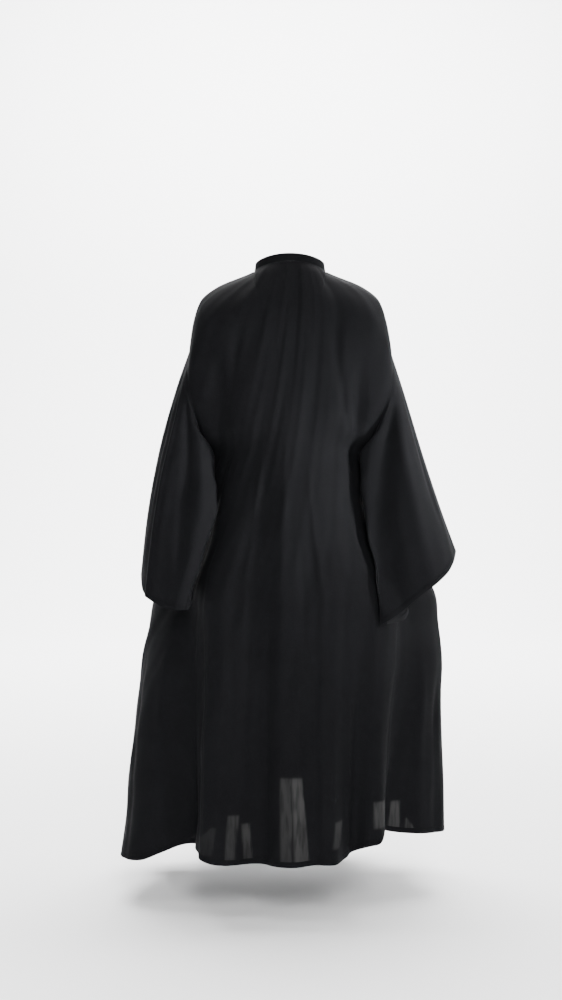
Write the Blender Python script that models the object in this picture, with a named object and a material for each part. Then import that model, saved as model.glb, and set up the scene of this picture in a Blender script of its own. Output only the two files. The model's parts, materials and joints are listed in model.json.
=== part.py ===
"""Abaya cloak, worn and hollow.

A floor-length A-line cloak with a deep dropped armhole and wide bell sleeves, standing as it hangs on a
wearer whose arms are down. The wearer faces -Y, so the back panel faces +Y, and the wearer's left is +X.
The origin is on the shoulder line, midway between the two neck points, where the shoulders carry the cloth.

Every panel is a grid of points on the cloth's outer face, worked out from the sizes and tables below. The
wall is made by stepping those points inwards, and neighbouring panels stop short of their shared seam.
"""

from collections import namedtuple

import bpy
import numpy as np
from mathutils.bvhtree import BVHTree

# Cloth and seams, in metres
WALL = 0.0016
SEAM_GAP = 0.0003

# Neck and shoulders, in metres from the origin
NECK_HALF = 0.084
NECK_BACK = 0.064
NECK_FRONT = 0.086
NECK_BACK_RISE = 0.016
NECK_FRONT_DROP = 0.072
DROP_X = 0.238
DROP_Z = -0.189
BAND_HEIGHT = 0.018
BAND_LEAN = 0.16

# Underarm, armhole and front edges, in metres
UNDERARM_Z = -0.440
CENTRE_LEVEL_Z = -0.415
ARMHOLE_BACK = 0.098
ARMHOLE_FRONT = 0.088
ARMHOLE_WRAP = 0.62
LAP_INSET = 0.0030
LAP_EASE = 0.035
SLEEVE_CLEARANCE = 0.009
SLEEVE_OPENING = 0.100

# Grid counts
NECK_COLUMNS = 7
SHOULDER_COLUMNS = 15
ARMHOLE_ROWS = 11
SKIRT_ROWS = 16
SLEEVE_ROWS = 14
BAND_ROWS = 2

# Angles, in degrees from the middle of the back or of the front
NECK_TURN = 20.6
EDGE_TURN = 90.0

BACK, FRONT = 1, -1
LEFT, RIGHT = 1, -1

# Shoulder seam seen from behind: its height at each distance out from the neck
Shoulder = namedtuple("Shoulder", "out height")
SHOULDER = [
    Shoulder(0.084, 0.000),
    Shoulder(0.120, -0.014),
    Shoulder(0.160, -0.030),
    Shoulder(0.190, -0.048),
    Shoulder(0.209, -0.066),
    Shoulder(0.222, -0.096),
    Shoulder(0.231, -0.137),
    Shoulder(0.238, -0.189),
]

# Depth of the cloth behind and in front of the shoulder line, by height
Depth = namedtuple("Depth", "height back front")
DEPTH = [
    Depth(-1.400, 0.342, 0.374),
    Depth(-1.000, 0.268, 0.288),
    Depth(-0.600, 0.196, 0.206),
    Depth(-0.350, 0.150, 0.158),
    Depth(-0.200, 0.128, 0.134),
    Depth(-0.100, 0.112, 0.112),
    Depth(0.050, 0.086, 0.084),
]

# Side seams below the underarm: half widths on the wearer's left and right, and how far back the seam lies
Side = namedtuple("Side", "height left right back")
SIDE = [
    Side(-1.360, 0.386, 0.356, -0.010),
    Side(-1.300, 0.374, 0.350, -0.014),
    Side(-1.130, 0.362, 0.350, -0.026),
    Side(-1.010, 0.353, 0.352, -0.036),
    Side(-0.890, 0.345, 0.360, -0.046),
    Side(-0.774, 0.334, 0.358, -0.056),
    Side(-0.650, 0.274, 0.278, -0.060),
    Side(-0.540, 0.226, 0.214, -0.034),
    Side(-0.440, 0.188, 0.172, 0.000),
]

# Hem height by angle round the body, from the middle of the back, positive to the wearer's left
Hem = namedtuple("Hem", "angle height")
HEM = [
    Hem(-180, -1.274),
    Hem(-150, -1.292),
    Hem(-120, -1.304),
    Hem(-90, -1.312),
    Hem(-76, -1.306),
    Hem(-62, -1.296),
    Hem(-54, -1.286),
    Hem(-46, -1.267),
    Hem(-40, -1.267),
    Hem(-34, -1.286),
    Hem(-28, -1.294),
    Hem(-24, -1.305),
    Hem(-18, -1.312),
    Hem(0, -1.317),
    Hem(20, -1.320),
    Hem(27, -1.314),
    Hem(34, -1.303),
    Hem(40, -1.304),
    Hem(48, -1.309),
    Hem(54, -1.328),
    Hem(60, -1.346),
    Hem(75, -1.348),
    Hem(90, -1.338),
    Hem(120, -1.312),
    Hem(150, -1.294),
    Hem(180, -1.274),
]

# Folds of the body, by angle round it. Heights are where a fold starts and where it is fully formed.
Fold = namedtuple("Fold", "angle upper_angle width start full depth hem_depth")
FOLDS = [
    Fold(68, 78, 13, -0.55, -1.30, 0.020, 0.030),
    Fold(44, 54, 9, -0.50, -0.95, -0.036, -0.076),
    Fold(27, 30, 8, -0.30, -1.20, 0.016, 0.026),
    Fold(12, 16, 7, -0.30, -1.10, -0.020, -0.026),
    Fold(-1, 0, 8, -0.45, -1.20, 0.012, 0.016),
    Fold(-9, -9, 4, -0.45, -1.10, -0.009, -0.010),
    Fold(-14, -18, 5, -0.60, -1.25, 0.010, 0.020),
    Fold(-25, -29, 6, -0.60, -1.20, -0.018, -0.034),
    Fold(-34, -38, 6, -0.85, -1.25, 0.014, 0.012),
    Fold(-54, -58, 14, -0.50, -1.00, -0.042, -0.088),
    Fold(-84, -86, 9, -0.60, -1.20, 0.010, 0.014),
    Fold(104, 100, 9, -0.60, -1.10, -0.020, -0.030),
    Fold(120, 116, 9, -0.50, -1.20, 0.024, 0.034),
    Fold(137, 136, 8, -0.40, -1.10, -0.030, -0.044),
    Fold(154, 152, 8, -0.35, -1.20, 0.020, 0.030),
    Fold(168, 168, 6, -0.40, -1.20, -0.014, -0.022),
    Fold(-168, -168, 7, -0.45, -1.20, -0.016, -0.024),
    Fold(-152, -153, 8, -0.30, -1.15, 0.022, 0.034),
    Fold(-134, -138, 9, -0.40, -1.10, -0.032, -0.046),
    Fold(-117, -116, 9, -0.55, -1.20, 0.020, 0.028),
    Fold(-102, -100, 7, -0.60, -1.20, -0.016, -0.024),
]

# Hollows in the body where a sleeve lies against it, the creases that run from the shoulders to the underarm,
# and, below zero, the fullness that hangs in front of each arm
Press = namedtuple("Press", "angle width top deepest bottom depth")
PRESSES = [
    Press(66, 20, -0.44, -0.66, -0.98, 0.050),
    Press(-66, 20, -0.44, -0.66, -0.98, 0.050),
    Press(61, 9, -0.15, -0.34, -0.50, 0.014),
    Press(-61, 9, -0.15, -0.34, -0.50, 0.014),
    Press(128, 10, -0.14, -0.32, -0.52, 0.012),
    Press(-130, 10, -0.14, -0.32, -0.52, 0.012),
    Press(116, 17, -0.22, -0.47, -0.78, -0.052),
    Press(-116, 17, -0.22, -0.47, -0.78, -0.054),
]

# Sleeve rings from the armhole to the cuff. "over" is the seam along the top of the arm and "under" the seam
# below it; x is the distance out from the middle. back and front are how far the ring swells each way, tuck
# is how far its back half folds in over the body, and the dips are how low the cuff hangs between the seams.
Ring = namedtuple(
    "Ring", "along over_x over_y over_z under_x under_y under_z back front tuck dip_back dip_front"
)
LEFT_SLEEVE = [
    Ring(0.00, 0.238, 0.000, -0.189, 0.188, 0.000, -0.440, 0.098, 0.088, 0.000, 0.000, 0.000),
    Ring(0.22, 0.266, 0.022, -0.276, 0.188, 0.036, -0.476, 0.086, 0.070, 0.040, 0.000, 0.000),
    Ring(0.50, 0.304, 0.054, -0.425, 0.192, 0.074, -0.556, 0.094, 0.062, 0.046, 0.002, 0.002),
    Ring(0.76, 0.330, 0.084, -0.585, 0.208, 0.104, -0.665, 0.092, 0.060, 0.026, 0.020, 0.014),
    Ring(1.00, 0.342, 0.098, -0.710, 0.218, 0.116, -0.744, 0.088, 0.068, 0.008, 0.052, 0.036),
]
RIGHT_SLEEVE = [
    Ring(0.00, 0.238, 0.000, -0.189, 0.172, 0.000, -0.440, 0.098, 0.088, 0.000, 0.000, 0.000),
    Ring(0.22, 0.266, 0.020, -0.282, 0.174, 0.036, -0.480, 0.086, 0.070, 0.052, 0.000, 0.000),
    Ring(0.50, 0.309, 0.048, -0.434, 0.168, 0.074, -0.590, 0.096, 0.062, 0.066, 0.000, 0.000),
    Ring(0.76, 0.350, 0.074, -0.566, 0.168, 0.114, -0.726, 0.098, 0.056, 0.050, 0.008, 0.010),
    Ring(1.00, 0.382, 0.084, -0.656, 0.176, 0.134, -0.822, 0.090, 0.066, 0.004, 0.022, 0.020),
]

# Folds that run down a sleeve, by angle from the top seam round to the one below
SleeveFold = namedtuple("SleeveFold", "side facing angle width start full depth")
SLEEVE_FOLDS = [
    SleeveFold(LEFT, BACK, 78, 20, 0.18, 0.62, -0.012),
    SleeveFold(LEFT, BACK, 128, 18, 0.30, 0.90, 0.010),
    SleeveFold(LEFT, FRONT, 60, 20, 0.25, 0.90, 0.010),
    SleeveFold(LEFT, FRONT, 104, 18, 0.25, 0.90, -0.012),
    SleeveFold(RIGHT, BACK, 52, 18, 0.20, 0.90, 0.010),
    SleeveFold(RIGHT, BACK, 104, 20, 0.20, 0.80, -0.014),
    SleeveFold(RIGHT, FRONT, 66, 18, 0.25, 0.90, -0.012),
    SleeveFold(RIGHT, FRONT, 118, 20, 0.25, 0.90, 0.010),
]

BLACK_CREPE = (0.018, 0.018, 0.021, 1.0)
BLACK_BAND = (0.014, 0.014, 0.016, 1.0)


def clear_scene():
    for thing in list(bpy.data.objects):
        bpy.data.objects.remove(thing)


def ease(share):
    """0 to 1 with a soft start and end."""
    share = np.clip(share, 0.0, 1.0)
    return share * share * (3.0 - 2.0 * share)


def column(table, name):
    return np.array([getattr(row, name) for row in table], float)


def through(table, key, name, at):
    """Reads a smooth curve through one named column of a table, which never overshoots its rows."""
    knots, values = column(table, key), column(table, name)
    steps = np.diff(knots)
    slopes = np.diff(values) / steps
    before, after = slopes[:-1], slopes[1:]
    bends = np.zeros_like(values)
    same_way = before * after > 0
    bends[1:-1][same_way] = (2 * before * after)[same_way] / (before + after)[same_way]
    bends[0], bends[-1] = slopes[0], slopes[-1]
    at = np.clip(at, knots[0], knots[-1])
    k = np.clip(np.searchsorted(knots, at, side="right") - 1, 0, len(steps) - 1)
    f = (at - knots[k]) / steps[k]
    ends = values[k] * (1 + 2 * f) * (1 - f) ** 2 + values[k + 1] * f * f * (3 - 2 * f)
    return ends + steps[k] * f * (1 - f) * (bends[k] * (1 - f) - bends[k + 1] * f)


def bump(distance, width):
    return np.exp(-((distance / width) ** 2))


def column_turns():
    """Angles of a half panel's columns, from the middle out to the side seam."""
    neck = np.linspace(0.0, NECK_TURN, NECK_COLUMNS + 1)
    shoulder = np.linspace(NECK_TURN, EDGE_TURN, SHOULDER_COLUMNS + 1)
    return np.concatenate([neck, shoulder[1:]])


def row_shares():
    """Rows from the top edge (0) to the underarm level (1) and on to the hem (2)."""
    upper = (np.arange(ARMHOLE_ROWS + 1) / ARMHOLE_ROWS) ** 1.35
    skirt = 1.0 + np.arange(1, SKIRT_ROWS + 1) / SKIRT_ROWS
    return np.concatenate([upper, skirt])


def top_edge(turns, side, facing):
    """Points of the neck and shoulder line, one for each column."""
    round_neck = np.radians(90.0 * np.clip(turns / NECK_TURN, 0.0, 1.0))
    neck_depth = NECK_BACK if facing == BACK else NECK_FRONT
    neck_rise = NECK_BACK_RISE if facing == BACK else -NECK_FRONT_DROP
    on_neck = turns <= NECK_TURN
    out = DROP_X * np.sin(np.radians(turns)) / np.sin(np.radians(EDGE_TURN))
    shoulder_share = (out - DROP_X * np.sin(np.radians(NECK_TURN))) / (
        DROP_X * (1.0 - np.sin(np.radians(NECK_TURN)))
    )
    out = NECK_HALF + (DROP_X - NECK_HALF) * shoulder_share
    x = np.where(on_neck, NECK_HALF * np.sin(round_neck), out)
    y = np.where(on_neck, facing * neck_depth * np.cos(round_neck), 0.0)
    z = np.where(
        on_neck,
        neck_rise * np.cos(round_neck) ** 1.5,
        through(SHOULDER, "out", "height", out),
    )
    return np.stack([side * x, y, z], axis=-1)


def edge_line(side, facing, shares):
    """The armhole seam down to the underarm, then the side seam: distance out, depth and height for each row."""
    down = np.clip(shares, 0.0, 1.0)
    skirt = np.clip(shares - 1.0, 0.0, 1.0)
    widths = "left" if side == LEFT else "right"
    hem_z = through(HEM, "angle", "height", np.array([side * EDGE_TURN]))[0]
    height = DROP_Z + (UNDERARM_Z - DROP_Z) * down + (hem_z - UNDERARM_Z) * skirt
    underarm_x = through(SIDE, "height", widths, np.array([UNDERARM_Z]))[0]
    armhole_x = DROP_X + (underarm_x - DROP_X) * down**1.7
    armhole_half = ARMHOLE_BACK if facing == BACK else ARMHOLE_FRONT
    armhole_y = facing * armhole_half * np.sqrt(np.clip(1.0 - (2.0 * down - 1.0) ** 2, 0.0, 1.0))
    below = shares > 1.0
    out = np.where(below, through(SIDE, "height", widths, height), armhole_x)
    depth = np.where(below, through(SIDE, "height", "back", height), armhole_y)
    return out, depth, height


def fold_depth(angle, height):
    """How far the body's folds move the cloth out (or in, below zero)."""
    total = np.zeros_like(height)
    for fold in FOLDS:
        formed = ease((fold.start - height) / (fold.start - fold.full))
        low = ease((-0.9 - height) / 0.42)
        centre = fold.upper_angle + (fold.angle - fold.upper_angle) * formed
        away = (angle - centre + 180.0) % 360.0 - 180.0
        depth = fold.depth + (fold.hem_depth - fold.depth) * low
        total += depth * formed * bump(away, fold.width)
    return total


def press_depth(angle, height):
    """How far a sleeve presses the body in, and how deep the creases above the underarm are."""
    total = np.zeros_like(height)
    for press in PRESSES:
        falling = ease((press.top - height) / (press.top - press.deepest))
        rising = ease((height - press.bottom) / (press.deepest - press.bottom))
        away = (angle - press.angle + 180.0) % 360.0 - 180.0
        total += press.depth * falling * rising * bump(away, press.width)
    return total


def body_points(turns, side, facing):
    """The cloth's outer face over one quarter of the body, as rows by columns of points."""
    shares = row_shares()[:, None]
    turns = np.asarray(turns, float)
    turn = np.radians(turns)[None, :]
    top = top_edge(turns, side, facing)
    edge_x, edge_y, edge_z = edge_line(side, facing, shares)
    angle = side * turns if facing == BACK else side * (180.0 - turns)
    hem_z = through(HEM, "angle", "height", angle)[None, :]
    to_edge = (np.sin(turn)) ** 3
    level_z = CENTRE_LEVEL_Z + (UNDERARM_Z - CENTRE_LEVEL_Z) * to_edge
    down = np.clip(shares, 0.0, 1.0)
    skirt = np.clip(shares - 1.0, 0.0, 1.0)
    z = top[None, :, 2] + (level_z - top[None, :, 2]) * down + (hem_z - level_z) * skirt

    name = "back" if facing == BACK else "front"
    middle_y = facing * through(DEPTH, "height", name, z)
    # Beside the armhole the section ends before it has turned to the side, so that the sleeve runs on from it.
    wrap = ARMHOLE_WRAP + (1.0 - ARMHOLE_WRAP) * ease((shares - 0.45) / 0.55)
    ring_x = edge_x * np.sin(wrap * turn) / np.sin(wrap * np.pi / 2.0)
    flat = np.cos(wrap * np.pi / 2.0)
    ring_y = edge_y + (middle_y - edge_y) * (np.cos(wrap * turn) - flat) / (1.0 - flat)

    # Over the shoulder the cloth leaves the seam level and rolls down the back or the front.
    roll = 0.11 - 0.05 * to_edge
    fallen = np.clip((top[None, :, 2] - z) / roll, 0.0, 1.0)
    power = 1.35 + 0.65 * np.clip(turns / NECK_TURN, 0.0, 1.0)[None, :]
    rolled = (1.0 - (1.0 - fallen) ** power) ** (1.0 / power)
    spread = ease((top[None, :, 2] - z) / 0.16)
    x = np.abs(top[None, :, 0]) + (ring_x - np.abs(top[None, :, 0])) * spread
    y = top[None, :, 1] + (ring_y - top[None, :, 1]) * rolled

    angles = np.broadcast_to(angle[None, :], z.shape)
    move = fold_depth(angles, z) - press_depth(angles, z)
    normal_x = np.sin(wrap * turn) / np.maximum(edge_x, 0.1)
    normal_y = np.cos(wrap * turn) / np.maximum(np.abs(middle_y - edge_y), 0.1)
    size = np.hypot(normal_x, normal_y)
    held = ease((turns[None, :] - 62.0) / 28.0) * (1.0 - ease((shares - 1.0) / 0.22))
    move = move * (1.0 - held)
    x = x + move * normal_x / size
    y = y + facing * move * normal_y / size
    return np.stack([side * x, y, z], axis=-1)


def back_grid():
    turns = column_turns()
    right = body_points(turns[::-1], RIGHT, BACK)
    left = body_points(turns, LEFT, BACK)
    return np.concatenate([right[:, :-1], left], axis=1)


def front_grid(side):
    """From the side seam to the front edge, which passes the middle by half the overlap."""
    turns = column_turns()
    grid = body_points(turns[::-1], side, FRONT)
    past_middle = body_points(turns[1:2], -side, FRONT)
    grid = np.concatenate([grid, past_middle], axis=1)
    if side == LEFT:
        reach = np.max(past_middle[:, :, 0] * -side)
        under = ease((LAP_EASE + reach - grid[:, :, 0]) / LAP_EASE)
        grid = grid - grid_normals(grid, (0, -1, 0)) * (LAP_INSET * under)[..., None]
    return grid


def sleeve_shares():
    """Rows from the armhole (0) to the cuff (1), closer together near the armhole."""
    return np.linspace(0.0, 1.0, SLEEVE_ROWS + 1) ** 1.3


def sleeve_grid(side, facing, armhole):
    """From the armhole to the cuff in rows, and from the top seam to the seam below in columns."""
    table = LEFT_SLEEVE if side == LEFT else RIGHT_SLEEVE
    along = sleeve_shares()[:, None]
    down = row_shares()[: ARMHOLE_ROWS + 1][None, :]
    ring_angle = np.arccos(np.clip(1.0 - 2.0 * down, -1.0, 1.0))

    def place(prefix):
        parts = [through(table, "along", prefix + axis, along) for axis in ("_x", "_y", "_z")]
        parts[0] = side * parts[0]
        return np.stack(parts, axis=-1)

    over, under = place("over"), place("under")
    swell = through(table, "along", "back" if facing == BACK else "front", along)
    dip = through(table, "along", "dip_back" if facing == BACK else "dip_front", along)
    centre, reach = (over + under) / 2.0, (over - under) / 2.0
    grid = centre + reach * np.cos(ring_angle)[..., None]
    grid[..., 1] += facing * swell * np.sin(ring_angle)
    grid[..., 2] -= dip * np.sin(ring_angle) ** 0.8
    if facing == BACK:
        tuck = through(table, "along", "tuck", along)
        grid[..., 0] -= side * tuck * np.sin(ring_angle) * (1.0 - np.cos(ring_angle)) ** 2.5 / 2.83

    degrees = np.degrees(ring_angle)
    for fold in SLEEVE_FOLDS:
        if fold.side == side and fold.facing == facing:
            formed = ease((along - fold.start) / (fold.full - fold.start))
            away = formed * fold.depth * bump(degrees - fold.angle, fold.width)
            away = away * np.sin(ring_angle)
            out = np.stack(
                [
                    side * np.cos(ring_angle) * np.ones_like(along),
                    facing * np.sin(ring_angle) * np.ones_like(along),
                    np.zeros_like(ring_angle * along),
                ],
                axis=-1,
            )
            grid = grid + away[..., None] * out
    joined = 1.0 - ease(along / 0.45)
    return grid + (armhole[None] - grid[:1]) * joined[..., None]


def surface_tree(grids):
    """A search tree over the outer faces of several panels, with all faces turned outwards."""
    points, faces = [], []
    for grid, outward in grids:
        rows, columns = grid.shape[:2]
        start = len(points)
        points.extend(map(tuple, grid.reshape(-1, 3)))
        for r in range(rows - 1):
            for c in range(columns - 1):
                corner = start + r * columns + c
                face = (corner, corner + columns, corner + columns + 1, corner + 1)
                faces.append(face if outward else face[::-1])
    return BVHTree.FromPolygons(points, faces)


def kept_clear(grid, tree, clearance):
    """Moves the points of a sleeve off the body until each is clear of it by its row's clearance."""
    grid = grid.copy()
    for turn in range(12):
        push = np.zeros_like(grid)
        for r in range(1, grid.shape[0]):
            for c in range(grid.shape[1]):
                near, normal, _, _ = tree.find_nearest(tuple(grid[r, c]))
                normal = np.array(normal)
                off = grid[r, c] - np.array(near)
                away = np.linalg.norm(off)
                above = np.dot(off, normal)
                inside = above < 0.0 and -above > 0.6 * away
                if inside or away < clearance[r]:
                    push[r, c] = normal * (clearance[r] - above)
        grid = grid + push
        if turn < 9:
            moved = (np.linalg.norm(push, axis=-1) > 0.0).astype(float)
            near = moved[1:-1, 1:-1] + moved[:-2, 1:-1] + moved[2:, 1:-1] + moved[1:-1, :-2] + moved[1:-1, 2:]
            around = (grid[:-2, 1:-1] + grid[2:, 1:-1] + grid[1:-1, :-2] + grid[1:-1, 2:]) / 4.0
            share = 0.5 * np.minimum(near, 1.0)[..., None]
            grid[1:-1, 1:-1] += (around - grid[1:-1, 1:-1]) * share
    return grid


def grid_normals(grid, outward):
    """Unit normals of a grid of points, all on the side that outward points to."""
    faces = np.cross(grid[1:, 1:] - grid[:-1, :-1], grid[1:, :-1] - grid[:-1, 1:])
    faces /= np.maximum(np.linalg.norm(faces, axis=-1, keepdims=True), 1e-12)
    normal = np.zeros_like(grid)
    normal[:-1, :-1] += faces
    normal[1:, :-1] += faces
    normal[:-1, 1:] += faces
    normal[1:, 1:] += faces
    normal /= np.maximum(np.linalg.norm(normal, axis=-1, keepdims=True), 1e-12)
    middle = tuple(n // 2 for n in grid.shape[:2])
    return normal if np.dot(normal[middle], outward) > 0 else -normal


def folds_back(normals, one, other):
    """How far the cloth turns back on itself along a seam, from 0 where it runs on to 1 where it doubles."""
    first, second = normals[one[0]][one[1:]], normals[other[0]][other[1:]]
    return ease((1.6 - np.linalg.norm(first + second, axis=-1)) / 0.8)


def share_normals(normals, one, other):
    """Gives two edges that meet in a seam one normal, less so the more the cloth folds back there.

    An edge is (panel, row slice, column slice).
    """
    folded = folds_back(normals, one, other)[:, None]
    first, second = normals[one[0]][one[1:]], normals[other[0]][other[1:]]
    mean = first + second
    mean /= np.maximum(np.linalg.norm(mean, axis=-1, keepdims=True), 1e-9)
    for (panel, *at), own in ((one, first), (other, second)):
        blend = mean + (own - mean) * folded
        normals[panel][tuple(at)] = blend / np.linalg.norm(blend, axis=-1, keepdims=True)


def trim_seam(grid, inner, edge, folded):
    """Draws one edge of a wall back by half the gap of a seam. edge is top, first or last.

    Where folded is true the cloth turns back on itself, and the edge also sinks into its own wall.
    """
    rows, beside = {
        "top": ((0, slice(None)), (1, slice(None))),
        "first": ((slice(None), 0), (slice(None), 1)),
        "last": ((slice(None), -1), (slice(None), -2)),
    }[edge]
    sink = (inner[rows] - grid[rows]) / WALL * SEAM_GAP * 0.6 * folded[:, None]
    moved = []
    for points in (grid, inner):
        along = np.gradient(points[rows], axis=0)
        along /= np.maximum(np.linalg.norm(along, axis=-1, keepdims=True), 1e-9)
        step = points[beside] - points[rows]
        step = step - along * np.sum(step * along, axis=-1, keepdims=True)
        length = np.linalg.norm(step, axis=-1, keepdims=True)
        changed = points.copy()
        changed[rows] = points[rows] + step / np.maximum(length, 1e-9) * SEAM_GAP * 0.55 + sink
        moved.append(changed)
    return moved


def cell_triangles(r, c, falling):
    """The two triangles of one cell of a grid, cut along its shorter diagonal."""
    a, b, d, e = (r, c), (r, c + 1), (r + 1, c + 1), (r + 1, c)
    return [(a, b, d), (a, d, e)] if falling else [(a, b, e), (b, d, e)]


def wall_object(name, outer, inner, material):
    """One closed solid between two grids of points."""
    rows, columns = outer.shape[:2]
    points = np.concatenate([outer.reshape(-1, 3), inner.reshape(-1, 3)])
    index = np.arange(rows * columns).reshape(rows, columns)
    back = index + rows * columns
    faces = []
    for r in range(rows - 1):
        for c in range(columns - 1):
            falling = np.linalg.norm(outer[r, c] - outer[r + 1, c + 1])
            rising = np.linalg.norm(outer[r + 1, c] - outer[r, c + 1])
            for face in cell_triangles(r, c, falling <= rising):
                faces.append(tuple(index[corner] for corner in face))
                faces.append(tuple(back[corner] for corner in reversed(face)))
    loop = list(index[0, :-1]) + list(index[:-1, -1]) + list(index[-1, :0:-1]) + list(index[:0:-1, 0])
    for here, there in zip(loop, loop[1:] + loop[:1]):
        shift = rows * columns
        faces.append((there, here, here + shift, there + shift))
    mesh = bpy.data.meshes.new(name)
    mesh.from_pydata([tuple(p) for p in points], [], [tuple(int(i) for i in f) for f in faces])
    mesh.validate()
    volume = signed_volume(points, faces)
    if volume < 0:
        mesh.flip_normals()
    mesh.shade_smooth()
    mesh.set_sharp_from_angle(angle=np.radians(50.0))
    thing = bpy.data.objects.new(name, mesh)
    thing.data.materials.append(material)
    bpy.context.scene.collection.objects.link(thing)
    return thing


def signed_volume(points, faces):
    total = 0.0
    for face in faces:
        for k in range(1, len(face) - 1):
            a, b, c = points[face[0]], points[face[k]], points[face[k + 1]]
            total += np.dot(a, np.cross(b, c))
    return total


def neckband_grids(panels):
    """A standing band on the neck edge, from the right front edge round the back to the left front edge."""
    neck = NECK_COLUMNS
    right_front = panels["front_right"][0, -neck - 2 :][::-1]
    middle = panels["back"].shape[1] // 2
    back = panels["back"][0, middle - neck : middle + neck + 1]
    left_front = panels["front_left"][0, -neck - 2 :]
    base = np.concatenate([right_front[:-1], back, left_front[1:]])
    inward = -base * np.array([1.0, 1.0, 0.0])
    inward /= np.linalg.norm(inward, axis=-1, keepdims=True)
    heights = np.linspace(SEAM_GAP, SEAM_GAP + BAND_HEIGHT, BAND_ROWS + 1)[:, None, None]
    up = np.array([0.0, 0.0, 1.0])
    outer = base[None] + heights * (up + inward[None] * BAND_LEAN)
    inner = outer + inward[None] * WALL
    return outer, inner


def crepe(name, colour):
    material = bpy.data.materials.new(name)
    material.use_nodes = True
    shader = material.node_tree.nodes["Principled BSDF"]
    shader.inputs["Base Color"].default_value = colour
    shader.inputs["Roughness"].default_value = 0.62
    shader.inputs["Metallic"].default_value = 0.0
    return material


def build():
    clear_scene()
    cloth = crepe("black_crepe", BLACK_CREPE)
    band = crepe("black_band", BLACK_BAND)

    panels = {"back": back_grid(), "front_left": front_grid(LEFT), "front_right": front_grid(RIGHT)}
    armhole = slice(0, ARMHOLE_ROWS + 1)
    panels["sleeve_left_back"] = sleeve_grid(LEFT, BACK, panels["back"][armhole, -1])
    panels["sleeve_right_back"] = sleeve_grid(RIGHT, BACK, panels["back"][armhole, 0])
    panels["sleeve_left_front"] = sleeve_grid(LEFT, FRONT, panels["front_left"][armhole, 0])
    panels["sleeve_right_front"] = sleeve_grid(RIGHT, FRONT, panels["front_right"][armhole, 0])

    tree = surface_tree(
        [(panels["back"], False), (panels["front_left"], False), (panels["front_right"], True)]
    )
    clearance = np.minimum(SLEEVE_CLEARANCE, SLEEVE_OPENING * sleeve_shares())
    for name in ("sleeve_left_back", "sleeve_left_front", "sleeve_right_back", "sleeve_right_front"):
        panels[name] = kept_clear(panels[name], tree, clearance)

    outward = {name: (0, 1, 0) if "back" in name else (0, -1, 0) for name in panels}
    normals = {name: grid_normals(grid, outward[name]) for name, grid in panels.items()}
    every, shoulder = slice(None), SHOULDER_COLUMNS + 1
    skirt = slice(ARMHOLE_ROWS, None)
    folded = {}
    for side, back_edge in (("left", -1), ("right", 0)):
        front = f"front_{side}"
        half_back, half_front = f"sleeve_{side}_back", f"sleeve_{side}_front"
        back_top = slice(-shoulder, None) if side == "left" else slice(shoulder - 1, None, -1)
        front_top = slice(shoulder - 1, None, -1)
        folds_at_back = folds_back(normals, ("back", armhole, back_edge), (half_back, 0, every))
        folds_at_front = folds_back(normals, (front, armhole, 0), (half_front, 0, every))
        share_normals(normals, ("back", 0, back_top), (front, 0, front_top))
        share_normals(normals, ("back", skirt, back_edge), (front, skirt, 0))
        share_normals(normals, (half_back, every, 0), (half_front, every, 0))
        share_normals(normals, (half_back, every, -1), (half_front, every, -1))
        share_normals(normals, ("back", armhole, back_edge), (half_back, 0, every))
        share_normals(normals, (front, armhole, 0), (half_front, 0, every))
        skirt_flat = np.zeros(SKIRT_ROWS)
        folded["back", "last" if side == "left" else "first"] = np.append(folds_at_back, skirt_flat)
        folded[front, "first"] = np.append(folds_at_front, skirt_flat)
        folded[half_back, "top"], folded[half_front, "top"] = folds_at_back, folds_at_front
        for half in (half_back, half_front):
            folded[half, "first"] = folded[half, "last"] = np.zeros(SLEEVE_ROWS + 1)
        folded[front, "top"] = np.zeros(panels[front].shape[1])
    folded["back", "top"] = np.zeros(panels["back"].shape[1])

    seams = {
        "back": ("top", "first", "last"),
        "front_left": ("top", "first"),
        "front_right": ("top", "first"),
        "sleeve_left_back": ("top", "first", "last"),
        "sleeve_right_back": ("top", "first", "last"),
        "sleeve_left_front": ("top", "first", "last"),
        "sleeve_right_front": ("top", "first", "last"),
    }
    for name, grid in panels.items():
        outer, inner = grid, grid - normals[name] * WALL
        for edge in seams[name]:
            outer, inner = trim_seam(outer, inner, edge, folded[name, edge])
        wall_object(name, outer, inner, cloth)
    outer, inner = neckband_grids(panels)
    wall_object("neckband", outer, inner, band)


build()
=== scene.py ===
"""Abaya cloak of black crepe, seen from behind, hanging as it does on a wearer with the arms down.

Each panel of cloth is a thin shell on the form of its solid: the same sizes and tables give the same
points, which are then made finer and given their smaller folds and creases. Hems, seams and stitches follow.
"""

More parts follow.
